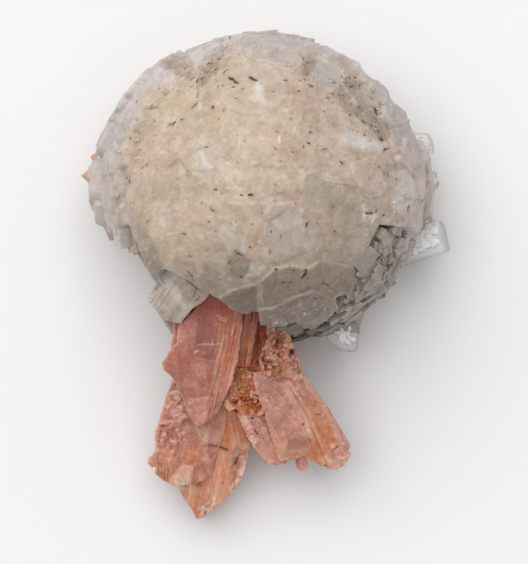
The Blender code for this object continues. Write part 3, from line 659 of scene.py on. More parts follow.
def ballSkin(direction):
    # Reach and tone along any directions. The tone starts as clouds and is mixed, layer by layer, with the tones of the
    # rim, patches, lines, fibres and stains; the last number of each noise is its seed.
    reach, owner, edge, border, gap, own, smallGap, smallOwn = ballSurface(direction)
    at = direction * ballLook["domeReach"]
    xy = at[:, :2]
    front = (direction[:, 2] > 0).astype(float)
    away = np.hypot(xy[:, 0], xy[:, 1])
    c = leifiteTones

    # cloudy beige, greyer and lilac towards the rim
    tone = mixTo(c["beige"], c["cream"], 0.5 + 0.9 * layeredNoise(at, 3.2, 3, 22))
    tone = mixTo(tone, c["blush"], 0.45 * ramp(layeredNoise(at, 2.2, 3, 28), 0.15, 0.6))
    tone = mixTo(tone, c["paleLilac"], 0.40 * ramp(layeredNoise(at, 1.7, 3, 33), 0.1, 0.6))
    rim = ramp(away + 0.9 * layeredNoise(at, 1.8, 3, 21), 9.4, 10.9)
    rim = np.maximum(rim, 1 - front)
    tone = mixTo(tone, c["lilac"], 0.85 * rim)
    tone = mixTo(tone, c["paleLilac"], 0.75 * ramp(away + 0.5 * layeredNoise(at, 0.9, 2, 34), 9.7, 11.0) * front)
    stained = ramp(away, 7.5, 9.6) * (1 - rim) * ramp(layeredNoise(at, 1.5, 4, 29), 0.0, 0.4)
    tone = mixTo(tone, c["stainAndShade"], 0.45 * stained)
    tone = tone * (1 + 0.10 * (own - 0.5) + 0.07 * (smallOwn - 0.5))[:, None]
    tone = tone * (1 + 0.11 * layeredNoise(at, 0.9, 4, 23) + 0.10 * smoothNoise(at, 0.22, 24))[:, None]
    wisps = ramp(layeredNoise(at, 0.8, 4, 35), 0.18, 0.5)
    tone = mixTo(tone, c["pale"], 0.30 * wisps * ramp(layeredNoise(at, 2.6, 2, 36), -0.3, 0.4))
    tone = mixTo(tone, c["stainAndShade"], 0.22 * ramp(layeredNoise(at * [1, 1.6, 1], 0.9, 4, 37), 0.2, 0.5))
    lift, grain, line, tone = layPatches(ballPatches, c, xy, at, tone, 80, 0.14)
    lift, grain, line = lift * front * 0.85, grain * front, line * front

    # painted shade towards the blades and painted light at the left, as if lit from the upper left; bluer at the right
    tone = tone * (1 - 0.36 * ramp(-xy[:, 1] + 0.8 * layeredNoise(at, 2.5, 2, 90), 2.0, 8.5) * front)[:, None]
    tone = tone * (0.94 + 0.08 * ramp(-xy[:, 0], -2.0, 8.0))[:, None]
    tone = tone * (1 + np.array([0.0, 0.015, 0.06]) * ramp(xy[:, 0], -6.0, 6.0)[:, None])

    # thin pale and dark lines where facets meet
    patchy = ramp(layeredNoise(at, 2.0, 2, 61), -0.1, 0.35)
    tone = mixTo(tone, c["pale"], 0.28 * np.exp(-((gap / 0.05) ** 2)) * patchy)
    tone = mixTo(tone, c["stainAndShade"], 0.12 * np.exp(-((gap / 0.05) ** 2)) * (1 - patchy))
    tone = mixTo(tone, c["pale"], 0.20 * np.exp(-((smallGap / 0.04) ** 2)) * ramp(layeredNoise(at, 1.2, 2, 63), 0, 0.5))
    tone = mixTo(tone, c["pale"], 0.30 * line * (0.55 + 0.6 * smoothNoise(at, 1.0, 66)))
    # painted highlight along the rim plates' edges
    plateEdgeHighlight = np.exp(-((edge / 0.08) ** 2)) * (0.6 + 0.4 * smoothNoise(at, 1.1, 25))
    tone = mixTo(tone, c["pale"], 0.35 * plateEdgeHighlight)
    lip = np.exp(-(((border + 0.06) / 0.07) ** 2)) * front * (owner < 0)
    tone = mixTo(tone, c["pale"], 0.35 * lip * (0.6 + 0.6 * smoothNoise(at, 1.0, 69)))
    # painted shade: on the lower side, the sunk skin outside the dome's border darkens towards deep
    tone = mixTo(tone, c["deep"], 0.55 * ramp(border, 0, 0.2) * (owner < 0) * ramp(-at[:, 1], -3, 0))
    tone = mixTo(tone, c["frost"], 0.7 * grain * ramp(layeredNoise(at, 0.30, 3, 27), -0.1, 0.35))

    # fibres, seams with painted shade just below them, stained rings round the dark grains, bright grains and brown
    # curls
    bent = xy + 0.10 * np.stack([layeredNoise(at, 0.6, 3, 3), layeredNoise(at, 0.6, 3, 4)], -1)
    fibres = capsuleShare(bent, scatterFibres(), 0.04) * front
    tone = mixTo(tone, c["pale"], 0.30 * fibres * (0.35 + 0.65 * ramp(xy[:, 1], -8, -1)))
    seams = capsuleShare(bent, seamStrokes(), 0.05) * front
    # painted shade: the seams moved down a little, darkened with the stain colour below each raised seam
    shadeSide = capsuleShare(bent + (0.02, 0.09), seamStrokes(), 0.07) * front
    tone = mixTo(tone, c["stainAndShade"], 0.45 * shadeSide * (0.5 + 0.5 * smoothNoise(at, 0.9, 67)))
    tone = mixTo(tone, c["pale"], 0.45 * seams * (0.6 + 0.4 * smoothNoise(at, 0.8, 68)))
    halo = capsuleShare(xy, markPlaces(ballMarks), 0.16) * front
    tone = mixTo(tone, c["stainAndShade"], 0.55 * halo)
    sparks = capsuleShare(xy, markPlaces(ballSparks), 0.05) * front
    tone = mixTo(tone, c["frost"], 0.9 * sparks)
    curls = ramp(np.abs(layeredNoise(at, 0.5, 2, 64)), 0.05, 0.0) * ramp(layeredNoise(at, 0.9, 2, 65), 0.15, 0.45)
    tone = mixTo(tone, c["speck"], 0.5 * curls * ramp(away, 6.5, 9.0) * (xy[:, 1] > 1) * front)

    reach = reach + lift + 0.05 * grain * layeredNoise(at, 0.25, 2, 12) + 0.03 * sparks + 0.025 * seams
    reach = reach + 0.006 * layeredNoise(at, 0.3, 2, 11)
    return reach, tone


def makeBall():
    # the skin along every direction of the grid; what would go below the flat cut is pulled in onto it
    direction, crown, band, fan = ballGrid()
    reach, tone = ballSkin(direction)
    points = ballMiddle + direction * reach[:, None]
    under = points[:, 2] < 0
    cut = np.where(under, -ballMiddle[2] / np.minimum(direction[:, 2], -0.1), reach)
    points = ballMiddle + direction * cut[:, None]
    points[:, 2] = np.maximum(points[:, 2], 0)
    points = np.vstack([points, [0, 0, 0]])
    tone = np.vstack([tone, leifiteTones["greyBrown"]])
    faces = np.vstack([crown, band]).tolist() + fan.tolist()
    ball = addPiece("leifiteBall", points, faces, materials["milkyLeifite"], "leifite", tone)
    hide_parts("leifite_ball")
    return points


ballPoints = makeBall()


# Blocks: many small crystals in one mesh

ringPoints, blockPoints = 8, 32  # in each ring of a block, and in its four rings
goldenAngle = 2.39996  # radians from one point to the next, which spreads them evenly


def blockMesh(middles, axes, ups, sizes, bevel, rng, uneven=0.10, taper=0.0, lean=0.8):
    # Each crystal is a ring of eight points, the corners of a rectangle cut off, carried along its own axis at four
    # places: inset, full, full, inset. Flat caps close its ends. uneven moves each corner of its rectangle, taper
    # narrows its inner end and lean slants its outer one.
    count = len(middles)
    axes = axes / np.linalg.norm(axes, axis=1)[:, None]
    side = np.cross(ups, axes)
    side = side / np.linalg.norm(side, axis=1)[:, None]
    up = np.cross(axes, side)
    half = sizes / 2
    corner = np.array([[1, 1], [-1, 1], [-1, -1], [1, -1]], dtype=float)
    moved = corner[None] * (1 + rng.uniform(-uneven, uneven, (count, 4, 2)))
    after = np.roll(moved, -1, axis=1)
    before = np.roll(moved, 1, axis=1)
    cut = np.minimum(bevel[:, None] / half[:, :2], 0.35)[:, None, :]
    ring = np.stack([moved + (before - moved) / 2 * cut, moved + (after - moved) / 2 * cut], axis=2)
    ring = ring.reshape(count, ringPoints, 2)
    inset = 1 - np.minimum(bevel[:, None] / half[:, :2], 0.4)
    lengthwise = half[:, 2]
    stops = np.stack([-lengthwise, -lengthwise + bevel, lengthwise - bevel, lengthwise], axis=1)
    slant = rng.uniform(-uneven, uneven, (count, 2)) * lean
    points = []
    for k in range(4):
        scale = (inset if k in (0, 3) else np.ones_like(inset)) * (1 - taper * (k < 2))
        flat = ring * (half[:, :2] * scale)[:, None, :]
        lift = stops[:, k, None] + (flat * slant[:, None, :]).sum(axis=2) * (k >= 2)
        points.append(middles[:, None] + flat[..., 0:1] * side[:, None] + flat[..., 1:2] * up[:, None]
                      + lift[..., None] * axes[:, None])
    points = np.stack(points, axis=1).reshape(-1, 3)
    start = np.arange(count)[:, None, None] * blockPoints
    sides = (gridFaces(4, ringPoints, closed=True)[None] + start).reshape(-1, 4)
    inner, outer = np.arange(ringPoints)[::-1], np.arange(blockPoints - ringPoints, blockPoints)
    caps = np.concatenate([inner + start[:, 0], outer + start[:, 0]])
    return points, sides.tolist() + caps.tolist()


def repeatTone(tones, points=None):
    # one tone for each crystal, clouded a little from point to point
    tones = np.repeat(tones, blockPoints, axis=0)
    return tones if points is None else tones * (1 + 0.14 * layeredNoise(points, 0.5, 3, 5))[:, None]


endLook = {
    "count": 900,  # spread evenly over the ball before those on its front are left out
    "lowest": -0.50,  # sine of the lowest elevation
    "highest": 0.03,  # sine of the highest elevation away from the flank
    "sizes": (1.2, 3.2),  # mm across
    "deep": 2.0,  # mm along the way out
    "stand": (-0.08, 0.08),  # mm out of the ball or into it
    "seed": 33,
}


def makeEnds():
    # Round the sides and the lower left flank the crystals' ends stand out as flat blocks, each pointing straight out
    # of the ball.
    look = endLook
    rng = np.random.default_rng(look["seed"])
    k = np.arange(look["count"])
    height = 1 - (1 - look["lowest"]) * (k + 0.5) / look["count"]
    turn = k * goldenAngle + rng.normal(0, 0.05, len(k))
    level = np.sqrt(1 - height**2)
    direction = np.stack([level * np.cos(turn), level * np.sin(turn), height], axis=-1)
    bearing = np.degrees(turn) % 360
    at = direction * ballLook["domeReach"]
    away = np.hypot(at[:, 0], at[:, 1])
    front = height > 0
    sheltered = (bearing > 234) & (bearing < 353)  # behind the blades and under the skirt
    flank = (at[:, 1] < -2.2) & (polygonDistance(at[:, :2], domeBorder) > -0.1)
    keep = (flank | (height < look["highest"])) & ~sheltered & (rng.uniform(size=len(k)) < 0.95)
    direction, front, away, height, bearing = (a[keep] for a in (direction, front, away, height, bearing))
    count = len(direction)
    inner = front * ramp(-away, -10.8, -9.6)  # nearer the front the ends lie flush and keep the ball's tone
    size = rng.uniform(0, 1, count) ** 1.3 * (look["sizes"][1] - look["sizes"][0]) + look["sizes"][0]
    size = size * (1 - 0.3 * inner)
    sizes = np.stack([size, size * rng.uniform(0.5, 1.0, count), np.full(count, look["deep"])], axis=1)
    stand = rng.uniform(*look["stand"], count)
    stand = stand - size**2 / 8 / ballLook["domeReach"] - 0.03 * front - 0.05 * inner
    reach, tone = ballSkin(direction)
    wall = ballSkin(directionOf(bearing, np.full(count, 4.0)))[0]  # the sides draw in slowly below the rim plates
    wall = wall - 0.15 - 0.5 * ramp(-height, 0.0, 0.2) - 0.7 * ramp(-height, 0.15, 0.5)
    reach = np.where(front, reach, np.maximum(reach, wall))
    middles = ballMiddle + direction * (reach + stand - look["deep"] / 2)[:, None]
    ups = rng.normal(0, 0.22, (count, 3)) + (0, 0, 1)
    axes = direction + rng.normal(0, 0.04, (count, 3))
    bevel = np.full(count, 0.05)
    points, faces = blockMesh(middles, axes, ups, sizes, bevel, rng, uneven=0.28, lean=0.3)
    points[:, 2] = np.maximum(points[:, 2], 0.0)
    plain = 1 - inner
    tones = mixTo(tone, leifiteTones["paleLilac"], rng.uniform(0.05, 0.5, count) * plain)
    tones = mixTo(tones, leifiteTones["rosy"], rng.uniform(0.0, 0.55, count))
    tones = mixTo(tones, leifiteTones["stainAndShade"], 0.35 * (rng.uniform(size=count) < 0.14))
    tones = tones * (rng.uniform(0.98, 1.12, count) + 0.04 * plain)[:, None]
    tones = repeatTone(tones, points)
    ringNumber = np.arange(len(tones)) % blockPoints // ringPoints
    # painted highlight: the ring just under each end is whitened, as if it caught the light
    edgeHighlight = (ringNumber == 2).astype(float)  # the ring just under each end catches the light
    addPiece("rimCrystals", points, faces, materials["rimLeifite"], "leifite",
             mixTo(tones, leifiteTones["white"], 0.32 * edgeHighlight), smooth=False)


makeEnds()

# thin and sunk are shares of the stroke's width; part is about how long each part of a long stroke is, in mm
grainLook = {"thin": 0.85, "sunk": 0.1, "part": 0.16, "seed": 12}


def makeGrains():
    # The dark strokes and flecks are little crystals of another mineral, half sunk in the ball. Each lies on the
    # nearest point of the ball's front; a long stroke is a row of short crystals, each turned a little.
    rng = np.random.default_rng(grainLook["seed"])
    marks = []
    for x, y, turn, length, width in markPlaces(ballMarks) + scatterFlecks():
        parts = max(1, int(round(length / grainLook["part"])))
        way = np.array([math.cos(math.radians(turn)), math.sin(math.radians(turn))])
        for k in range(parts):
            shift = ((k + 0.5) / parts - 0.5) * length
            spot = np.array([x, y]) + way * shift + rng.normal(0, 0.12 * width, 2)
            marks.append((*spot, turn + rng.normal(0, 18), length / parts + width * 0.8,
                          width * rng.uniform(0.7, 1.1)))
    x, y, turn, length, width = np.array(marks).T
    front = ballPoints[ballPoints[:, 2] > ballMiddle[2]]
    middles = front[[np.argmin((front[:, 0] - a) ** 2 + (front[:, 1] - b) ** 2) for a, b in zip(x, y)]]
    ups = middles - ballMiddle
    ups /= np.linalg.norm(ups, axis=1)[:, None]
    axes = np.stack([np.cos(np.radians(turn)), np.sin(np.radians(turn)), 0 * turn], axis=1)
    axes -= (axes * ups).sum(axis=1)[:, None] * ups
    width = width * grainLook["thin"]
    sizes = np.stack([width, width * 0.7, length], axis=1)
    middles = middles - ups * (width * grainLook["sunk"])[:, None]
    points, faces = blockMesh(middles, axes, ups, sizes, width * 0.3, rng, 0.3, 0.2)
    tones = mixTo(np.tile(leifiteTones["speck"], (len(x), 1)), leifiteTones["stainAndShade"],
                  rng.uniform(0.0, 0.35, len(x)) + 0.35 * (width < 0.09))
    addPiece("darkGrains", points, faces, materials["skirtLeifite"], "leifite", repeatTone(tones), smooth=False)


makeGrains()

# reach and away are mm from the ball's middle, the second as seen from the front; bearings are in degrees
glintLook = {"count": 130, "sizes": (0.04, 0.12), "reach": 11.3, "away": (8.6, 11.2), "bearings": (-75, 195),
             "seed": 77}


def makeGlints():
    # tiny white blocks scattered over the rim and skirt, each standing on the ball: painted glints
    look = glintLook
    rng = np.random.default_rng(look["seed"])
    count, full = look["count"], look["reach"]
    away = rng.uniform(*look["away"], count)
    turn = np.radians(rng.uniform(*look["bearings"], count))
    direction = np.stack([away * np.cos(turn), away * np.sin(turn), np.sqrt(full**2 - away**2)], axis=-1) / full
    size = rng.uniform(*look["sizes"], count)
    middles = ballMiddle + direction * (ballSkin(direction)[0] + 0.10)[:, None]
    sizes = np.stack([size, size * 0.7, size * 1.2], axis=1)
    axes, ups = rng.normal(0, 1, (count, 3)), rng.normal(0, 1, (count, 3))
    points, faces = blockMesh(middles, axes, ups, sizes, size * 0.2, rng)
    tones = np.tile(leifiteTones["white"] * 1.1, (count, 1))
    addPiece("rimGlints", points, faces, materials["rimLeifite"], "leifite", repeatTone(tones), smooth=False)


makeGlints()

skirtLook = {
    "blocks": 720, "large": 40,  # of which large
    "bearings": (281, 352), "largeBearings": (300, 350),  # degrees
    "elevations": (-30, 52), "largeElevations": (-25, 16),  # degrees
    "sizes": (0.5, 1.7), "largeSizes": (1.6, 2.7), "deep": 2.2,  # mm
    "reach": 10.2,  # mm from the ball's middle to the outer ends, before what chance and the bearing change
    "tint": (0.90, 0.87, 0.83),
    "seed": 21,
}


def makeSkirt():
    # small blocks, each pointing nearly outwards, packed over the sunk skirt at the lower right
    look = skirtLook
    rng = np.random.default_rng(look["seed"])
    count = look["blocks"]
    bearing = rng.uniform(*look["bearings"], count)
    elevation = rng.uniform(*look["elevations"], count)
    axes = directionOf(bearing, elevation) + rng.normal(0, 0.07, (count, 3))
    size = rng.uniform(0, 1, count) ** 1.4 * (look["sizes"][1] - look["sizes"][0]) + look["sizes"][0]
    large = np.arange(count) < look["large"]
    size = np.where(large, rng.uniform(*look["largeSizes"], count), size)
    elevation = np.where(large, rng.uniform(*look["largeElevations"], count), elevation)
    bearing = np.where(large, rng.uniform(*look["largeBearings"], count), bearing)
    sizes = np.stack([size, size * rng.uniform(0.6, 1.0, count), np.full(count, look["deep"])], axis=1)
    reach = look["reach"] + rng.uniform(0, 0.6, count)
    reach = reach - 0.3 * ramp(bearing, 298, 287) + 0.2 * ramp(bearing, 330, 350)
    flat = directionOf(bearing, elevation)[:, :2] * 10.9
    keep = (polygonDistance(flat, domeBorder) > np.where(large, 1.1, 0.1)) | (elevation < 0)
    bearing, elevation, axes, sizes, reach, large = (a[keep] for a in (bearing, elevation, axes, sizes, reach, large))
    count = len(bearing)
    reach = np.minimum(reach + 0.35 * ramp(elevation, 15, 35), 9.3 / np.cos(np.radians(np.abs(elevation))) + 1.35)
    middles = ballMiddle + directionOf(bearing, elevation) * (reach - look["deep"] / 2)[:, None]
    middles[:, 2] = np.maximum(middles[:, 2], 1.5)
    ups = np.tile([0.0, 0.0, 1.0], (count, 1)) + rng.normal(0, 0.5, (count, 3))
    points, faces = blockMesh(middles, axes, ups, sizes, np.full(count, 0.05), rng, uneven=0.3, lean=0.5)
    points[:, 2] = np.maximum(points[:, 2], 0.05)
    tones = mixTo(np.tile(leifiteTones["greyBrown"], (count, 1)), leifiteTones["slate"], rng.uniform(0, 0.9, count))
    tones = mixTo(tones * 0.94, leifiteTones["paleLilac"], 0.35 * large + 0.3 * ramp(reach, 10.5, 11.0))
    # painted shade: sunk blocks, and those at bearings below 305 degrees beside the blades, are darkened towards deep
    paintedShadeShare = rng.uniform(0, 0.6, count) * (reach < 10.5) + 0.5 * ramp(bearing, 305, 290)
    tones = mixTo(tones, leifiteTones["deep"], paintedShadeShare)
    tones = repeatTone(tones, points) * look["tint"]
    tones = tones * (1 + 0.20 * layeredNoise(points, 1.6, 4, 15))[:, None]
    addPiece("skirtCrystals", points, faces, materials["skirtLeifite"], "leifite", tones, smooth=False)


makeSkirt()

# Serandite blades

# screen colours, all darkened alike; deep serves as painted shade, and in the root wall also as its own dark red
seranditeTones = {name: linearColour(*colour) * 0.95 for name, colour in {
    "pink": (190, 118, 101), "rose": (208, 146, 130), "mauve": (168, 102, 92), "orange": (202, 126, 84),
    "amber": (190, 98, 52), "deep": (150, 50, 26), "frost": (234, 194, 170), "peach": (218, 156, 124),
    "granular": (208, 146, 122), "tan": (172, 118, 88), "white": (240, 220, 206), "speck": (70, 30, 18)}.items()}
# what a blade has where its own entry below doesn't say otherwise
plainBlade = {
    "cells": (150, 84),  # rows along it and columns across its face
    "walls": 6,  # columns down each side
    "stripes": (0.0, 1.0, 0.25),  # where the stripes start and end across the blade, and their strength
    "coarse": 0.17,  # mm, height of the lumps where it is rough
    "lumps": 0.95,  # mm across the large lumps
    "tint": (1, 1, 1),  # deepens all but the tip
    # painted shade: shaded darkens a blade next to the ball, which overhangs it
    "shaded": True,  # darker next to the ball
    "ridges": (),  # place and half width as shares of the blade's width, height in mm
    "patches": (), "marks": (), "sparks": (), "scores": (),  # the same rows as on the ball
}
# Blades: their left and right side chains, from the top to the tip, on the front grid. tip is how far its end goes
# beyond the chains, from left to right. thickness is in mm; middle is its height at the anchor, and lean its slopes.
# lines is the height of the fine lines and their turn in degrees, rough is how much of the face is rough, and wide is
# its width in mm, which spaces the stripes.
blades = {
    "frontBlade": {
        "left": ((200, 285), (196, 308), (181, 324), (178, 342), (173, 347), (164, 361), (164, 369), (173, 376),
                 (182, 394), (187, 411)),
        "right": ((242, 285), (243, 316), (242, 328), (238, 359), (232, 382), (224, 400), (217, 412)),
        "tip": ((0, 0), (0.3, 0.85), (0.5, 1.05), (0.7, 0.6), (1, 0)),
        "thickness": 2.3, "middle": 7.35, "anchor": (-4.0, -12.0), "lean": (0.04, 0.30), "seed": 3,
        "tones": ("pink", "mauve", "pink"), "lines": (0.02, -78), "rough": 0.0, "wide": 4.0,
        "stripes": (0.62, 1.0, 0.9),
        "ridges": ((0.58, 0.010, 0.05), (0.66, 0.010, 0.06), (0.72, 0.008, 0.10), (0.79, 0.010, 0.06),
                   (0.87, 0.010, 0.08), (0.94, 0.012, 0.06)),
        "patches": (
            (((199, 319), (222, 319), (217, 343), (198, 344)), -0.10, "mauve", 0.8, 0, 0.3),
            (((197, 345), (218, 344), (217, 359), (212, 361), (198, 357)), -0.05, "mauve", 0.5, 0, 0.2),
            (((226, 300), (246, 300), (242, 350), (232, 384), (222, 404), (206, 408), (216, 370), (224, 335)), 0.05,
             "peach", 0.45, 0, 0),
            (((186, 400), (209, 396), (208, 420), (197, 427), (188, 417)), 0.07, "rose", 0.8, 0.4, 0.4),
            (((163, 350), (178, 340), (182, 372), (166, 372)), 0.08, "pink", 0.5, 0.1, 0.4),
            (((182, 326), (198, 312), (197, 345), (182, 360)), 0.03, "rose", 0.35, 0.1, 0.1),
            (((198, 372), (214, 366), (208, 396), (190, 398)), -0.03, "mauve", 0.35, 0.1, 0.2),
            # painted shade under the ball's edge
            (((196, 285), (246, 285), (244, 318), (230, 310), (205, 312), (190, 322)), 0.0, "deep", 0.35, 0, 0),
        ),
        "sparks": ((223, 317, -20, 0.8, 0.04), (224, 320, -20, 0.5, 0.04), (220, 343, 0, 0.3, 0.04),
                   (197, 351, 25, 0.3, 0.08), (206, 411, 40, 0.4, 0.08), (233, 330, 75, 0.6, 0.04)),
        "scores": ((224, 350, 75, 1.6, 0.07), (216, 380, 75, 2.4, 0.09), (219, 372, 75, 3.4, 0.05),
                   (231, 350, 76, 3.6, 0.05), (236, 345, 77, 3.4, 0.06), (228, 380, 76, 2.4, 0.05)),
    },
    "backBlade": {
        "left": ((176, 300), (172, 350), (174, 377), (170, 388), (163, 409), (155, 435), (156, 451), (150, 458),
                 (155, 464), (155, 475)),
        "right": ((236, 300), (235, 360), (225, 430), (210, 480)),
        "tip": ((0, 0), (0.15, 0.40), (0.4, 0.75), (0.7, 0.5), (1, 0)),
        "thickness": 3.0, "middle": 4.75, "anchor": (-5.0, -14.0), "lean": (0.0, 0.30), "seed": 9,
        "tones": ("pink", "granular", "peach"), "lines": (0.02, -70), "rough": 0.5, "wide": 4.5,
        "ridges": ((0.3, 0.03, 0.08),),
        "patches": (
            (((170, 376), (186, 372), (200, 420), (178, 424), (160, 412)), 0.05, "granular", 0.6, 0.9, 0),
            (((156, 424), (178, 420), (190, 414), (190, 424), (174, 457), (156, 452)), 0.14, "pink", 0.75, 0.8, 0.5),
            (((156, 453), (176, 456), (200, 440), (205, 462), (182, 468), (170, 484), (154, 480)), -0.02, "orange",
             0.6, 0.2, 0.2),
            (((170, 483), (182, 467), (194, 469), (190, 491), (177, 495)), 0.22, "frost", 0.85, 0.3, 0.7),
            (((196, 428), (210, 427), (208, 444), (201, 441)), 0.05, "frost", 0.7, 0.6, 0),
        ),
        "marks": ((213, 446, -12, 0.6, 0.10),),
        "sparks": ((178, 430, 0, 0.1, 0.12), (172, 442, 0, 0.1, 0.12), (165, 435, 0, 0.1, 0.1),
                   (176, 398, 0, 0.1, 0.12), (168, 412, 0, 0.1, 0.1), (184, 440, 0, 0.1, 0.1)),
        "scores": ((158, 470, 88, 0.9, 0.05), (161, 472, 88, 0.9, 0.05), (164, 474, 88, 0.9, 0.05),
                   (167, 476, 88, 0.8, 0.05)),
    },
    "longBlade": {
        "left": ((200, 300), (199, 380), (196, 430), (186, 452), (183, 480), (179, 492)),
        "right": ((252, 300), (249, 380), (241, 416), (248, 437), (250, 446), (246, 463), (240, 483), (236, 490)),
        "tip": ((0, 0), (0.10, 0.6), (0.25, 1.35), (0.38, 2.15), (0.50, 2.05), (0.66, 1.5), (0.85, 0.6), (1, 0)),
        "thickness": 2.7, "middle": 4.55, "anchor": (-3.0, -14.0), "lean": (0.0, 0.30), "seed": 14,
        "tones": ("peach", "orange", "peach"), "lines": (0.02, -78), "rough": 0.15, "wide": 3.6,
        "tint": (0.98, 0.84, 0.72), "stripes": (0.05, 0.95, 0.55),
        "ridges": ((0.36, 0.012, 0.08), (0.52, 0.012, 0.10), (0.62, 0.012, 0.05), (0.74, 0.014, 0.07)),
        "patches": (
            (((219, 411), (228, 405), (239, 415), (246, 437), (231, 452), (216, 448), (217, 425)), 0.16, "orange", 0.8,
             0, 0.35),
            (((205, 430), (219, 411), (217, 447), (206, 444)), 0.10, "peach", 0.5, 0.1, 0.4),
            (((196, 426), (210, 424), (209, 443), (201, 441)), 0.05, "frost", 0.8, 0.8, 0),
            (((193, 447), (232, 453), (234, 492), (214, 518), (198, 516), (190, 490)), 0.0, "peach", 0.55, 0.1, 0),
            (((232, 452), (250, 440), (247, 462), (236, 486), (230, 490)), -0.10, "tan", 0.7, 0.4, 0.2),
            (((229, 492), (240, 470), (248, 456), (248, 466), (238, 488), (231, 498)), 0.05, "white", 0.8, 1.0, 0),
            (((196, 505), (214, 500), (216, 520), (198, 524)), 0.03, "frost", 0.8, 1.0, 0),
            (((170, 483), (182, 467), (194, 469), (190, 491), (177, 495)), 0.15, "frost", 0.85, 0.3, 0.7),
            (((225, 364), (262, 364), (262, 418), (240, 412), (226, 405)), 0.0, "orange", 0.6, 0.8, 0),
        ),
        "marks": ((211, 445, -12, 0.55, 0.10), (221, 448, -22, 0.85, 0.20), (199, 487, 5, 0.34, 0.13),
                  (228, 441, 0, 0.05, 0.10), (222, 484, 0, 0.05, 0.10), (236, 462, 70, 0.5, 0.18)),
        "sparks": ((205, 512, 0, 0.2, 0.12), (208, 505, 0, 0.1, 0.12)),
        "scores": ((190, 480, 80, 3.0, 0.05), (203, 470, 72, 3.2, 0.05), (212, 470, 72, 3.6, 0.04),
                   (207, 490, 78, 2.6, 0.05), (196, 480, 84, 3.0, 0.04)),
    },
    "shortBlade": {
        "left": ((253, 372), (254, 384), (264, 412), (271, 436), (279, 461)),
        "right": ((300, 366), (307, 379), (312, 388), (322, 401), (337, 428), (344, 443), (351, 456)),
        "tip": ((0, 0), (0.12, 0.02), (0.25, 0.0), (0.36, -0.25), (0.46, 0.30), (0.6, 0.85), (0.72, 1.0),
                (0.86, 0.70), (1, 0)),
        "thickness": 2.6, "middle": 5.5, "anchor": (1.5, -14.5), "lean": (-0.12, 0.32), "seed": 20,
        "tones": ("rose", "peach", "granular"), "lines": (0.02, -60), "rough": 0.3, "wide": 5.0,
        "stripes": (0.5, 0.8, 0.5),
        "ridges": ((0.2, 0.012, 0.06), (0.36, 0.010, 0.08), (0.5, 0.012, 0.07), (0.60, 0.010, 0.12),
                   (0.66, 0.012, 0.10), (0.82, 0.02, 0.12), (0.93, 0.02, 0.08)),
        "patches": (
            (((253, 372), (300, 368), (306, 380), (290, 410), (268, 416), (256, 392)), 0.0, "rose", 0.55, 0.3, 0),
            # painted shade in the gap under the rough chunk's lower end
            (((272, 380), (280, 376), (294, 376), (296, 380), (284, 384)), -0.10, "deep", 0.9, 0, 0),
            (((312, 429), (330, 422), (337, 442), (324, 456), (312, 468), (305, 455)), -0.05, "orange", 0.85, 0.1,
             0.2),
            (((285, 440), (311, 433), (309, 448), (287, 451)), -0.03, "mauve", 0.6, 0.2, 0.1),
            (((300, 386), (312, 388), (332, 424), (318, 424), (304, 404)), 0.0, "orange", 0.4, 0.2, 0.2),
            (((335, 436), (345, 440), (352, 457), (348, 466), (340, 462)), 0.05, "rose", 0.7, 0.4, 0.6),
            (((325, 456), (348, 458), (350, 466), (334, 476), (318, 472)), 0.03, "frost", 0.6, 0.6, 0.3),
            (((306, 432), (313, 430), (313, 438), (307, 438)), 0.02, "white", 0.5, 0.3, 0),
            (((279, 461), (290, 457), (302, 456), (300, 464), (284, 468)), 0.05, "rose", 0.6, 0.3, 0.6),
        ),
        "marks": ((303, 424, 60, 0.10, 0.14), (318, 414, -10, 0.34, 0.06), (336, 448, 40, 0.45, 0.10),
                  (326, 466, 0, 0.10, 0.14), (315, 405, 0, 0.05, 0.08), (278, 462, 0, 0.12, 0.12)),
        "sparks": ((297, 388, 40, 0.12, 0.12), (308, 430, 0, 0.12, 0.12), (290, 420, 0, 0.05, 0.10),
                   (343, 459, 30, 0.2, 0.14), (300, 398, 0, 0.05, 0.1)),
        "scores": ((297, 400, -58, 2.6, 0.05), (301, 405, -58, 2.2, 0.05), (304, 412, -58, 1.8, 0.06),
                   (292, 425, -60, 1.6, 0.05), (276, 430, -62, 2.4, 0.05), (325, 440, -58, 2.0, 0.05),
                   (286, 400, -60, 1.6, 0.04), (270, 400, -66, 2.2, 0.04)),
    },
    "lowerLedge": {
        "left": ((237, 413), (247, 437), (256, 450), (266, 464)),
        "right": ((256, 404), (266, 418), (274, 440), (286, 464)),
        "tip": ((0, 0), (0.5, 0.15), (1, 0)),
        "thickness": 1.9, "middle": 4.9, "anchor": (-0.5, -16.5), "lean": (-0.1, 0.30), "seed": 26,
        "tones": ("rose", "granular", "pink"), "lines": (0.03, -60), "rough": 0.4, "wide": 2.0,
        "ridges": ((0.05, 0.04, 0.08), (0.6, 0.02, 0.06)),
        "patches": ((((236, 410), (246, 410), (262, 450), (252, 448)), 0.04, "frost", 0.6, 0.6, 0.3),),
        "marks": ((256, 432, -60, 0.3, 0.08), (252, 418, 0, 0.1, 0.12)), "sparks": ((244, 416, 0, 0.2, 0.12),),
        "scores": ((256, 430, -60, 1.4, 0.06), (262, 436, -60, 1.8, 0.05)),
    },
    "roughChunk": {
        "left": ((266, 316), (268, 337), (262, 350), (259, 361), (262, 375)),
        "right": ((288, 316), (291, 341), (299, 361), (303, 378)),
        "tip": ((0, 0), (0.15, 0.45), (0.3, 0.10), (0.5, 0.50), (0.62, 0.15), (0.8, 0.35), (1, 0)),
        "thickness": 2.6, "middle": 6.8, "anchor": (1.1, -11.5), "lean": (0.0, 0.28), "seed": 37,
        "tones": ("tan", "peach", "granular"), "lines": (0.02, -70), "rough": 1.0, "cells": (120, 96),
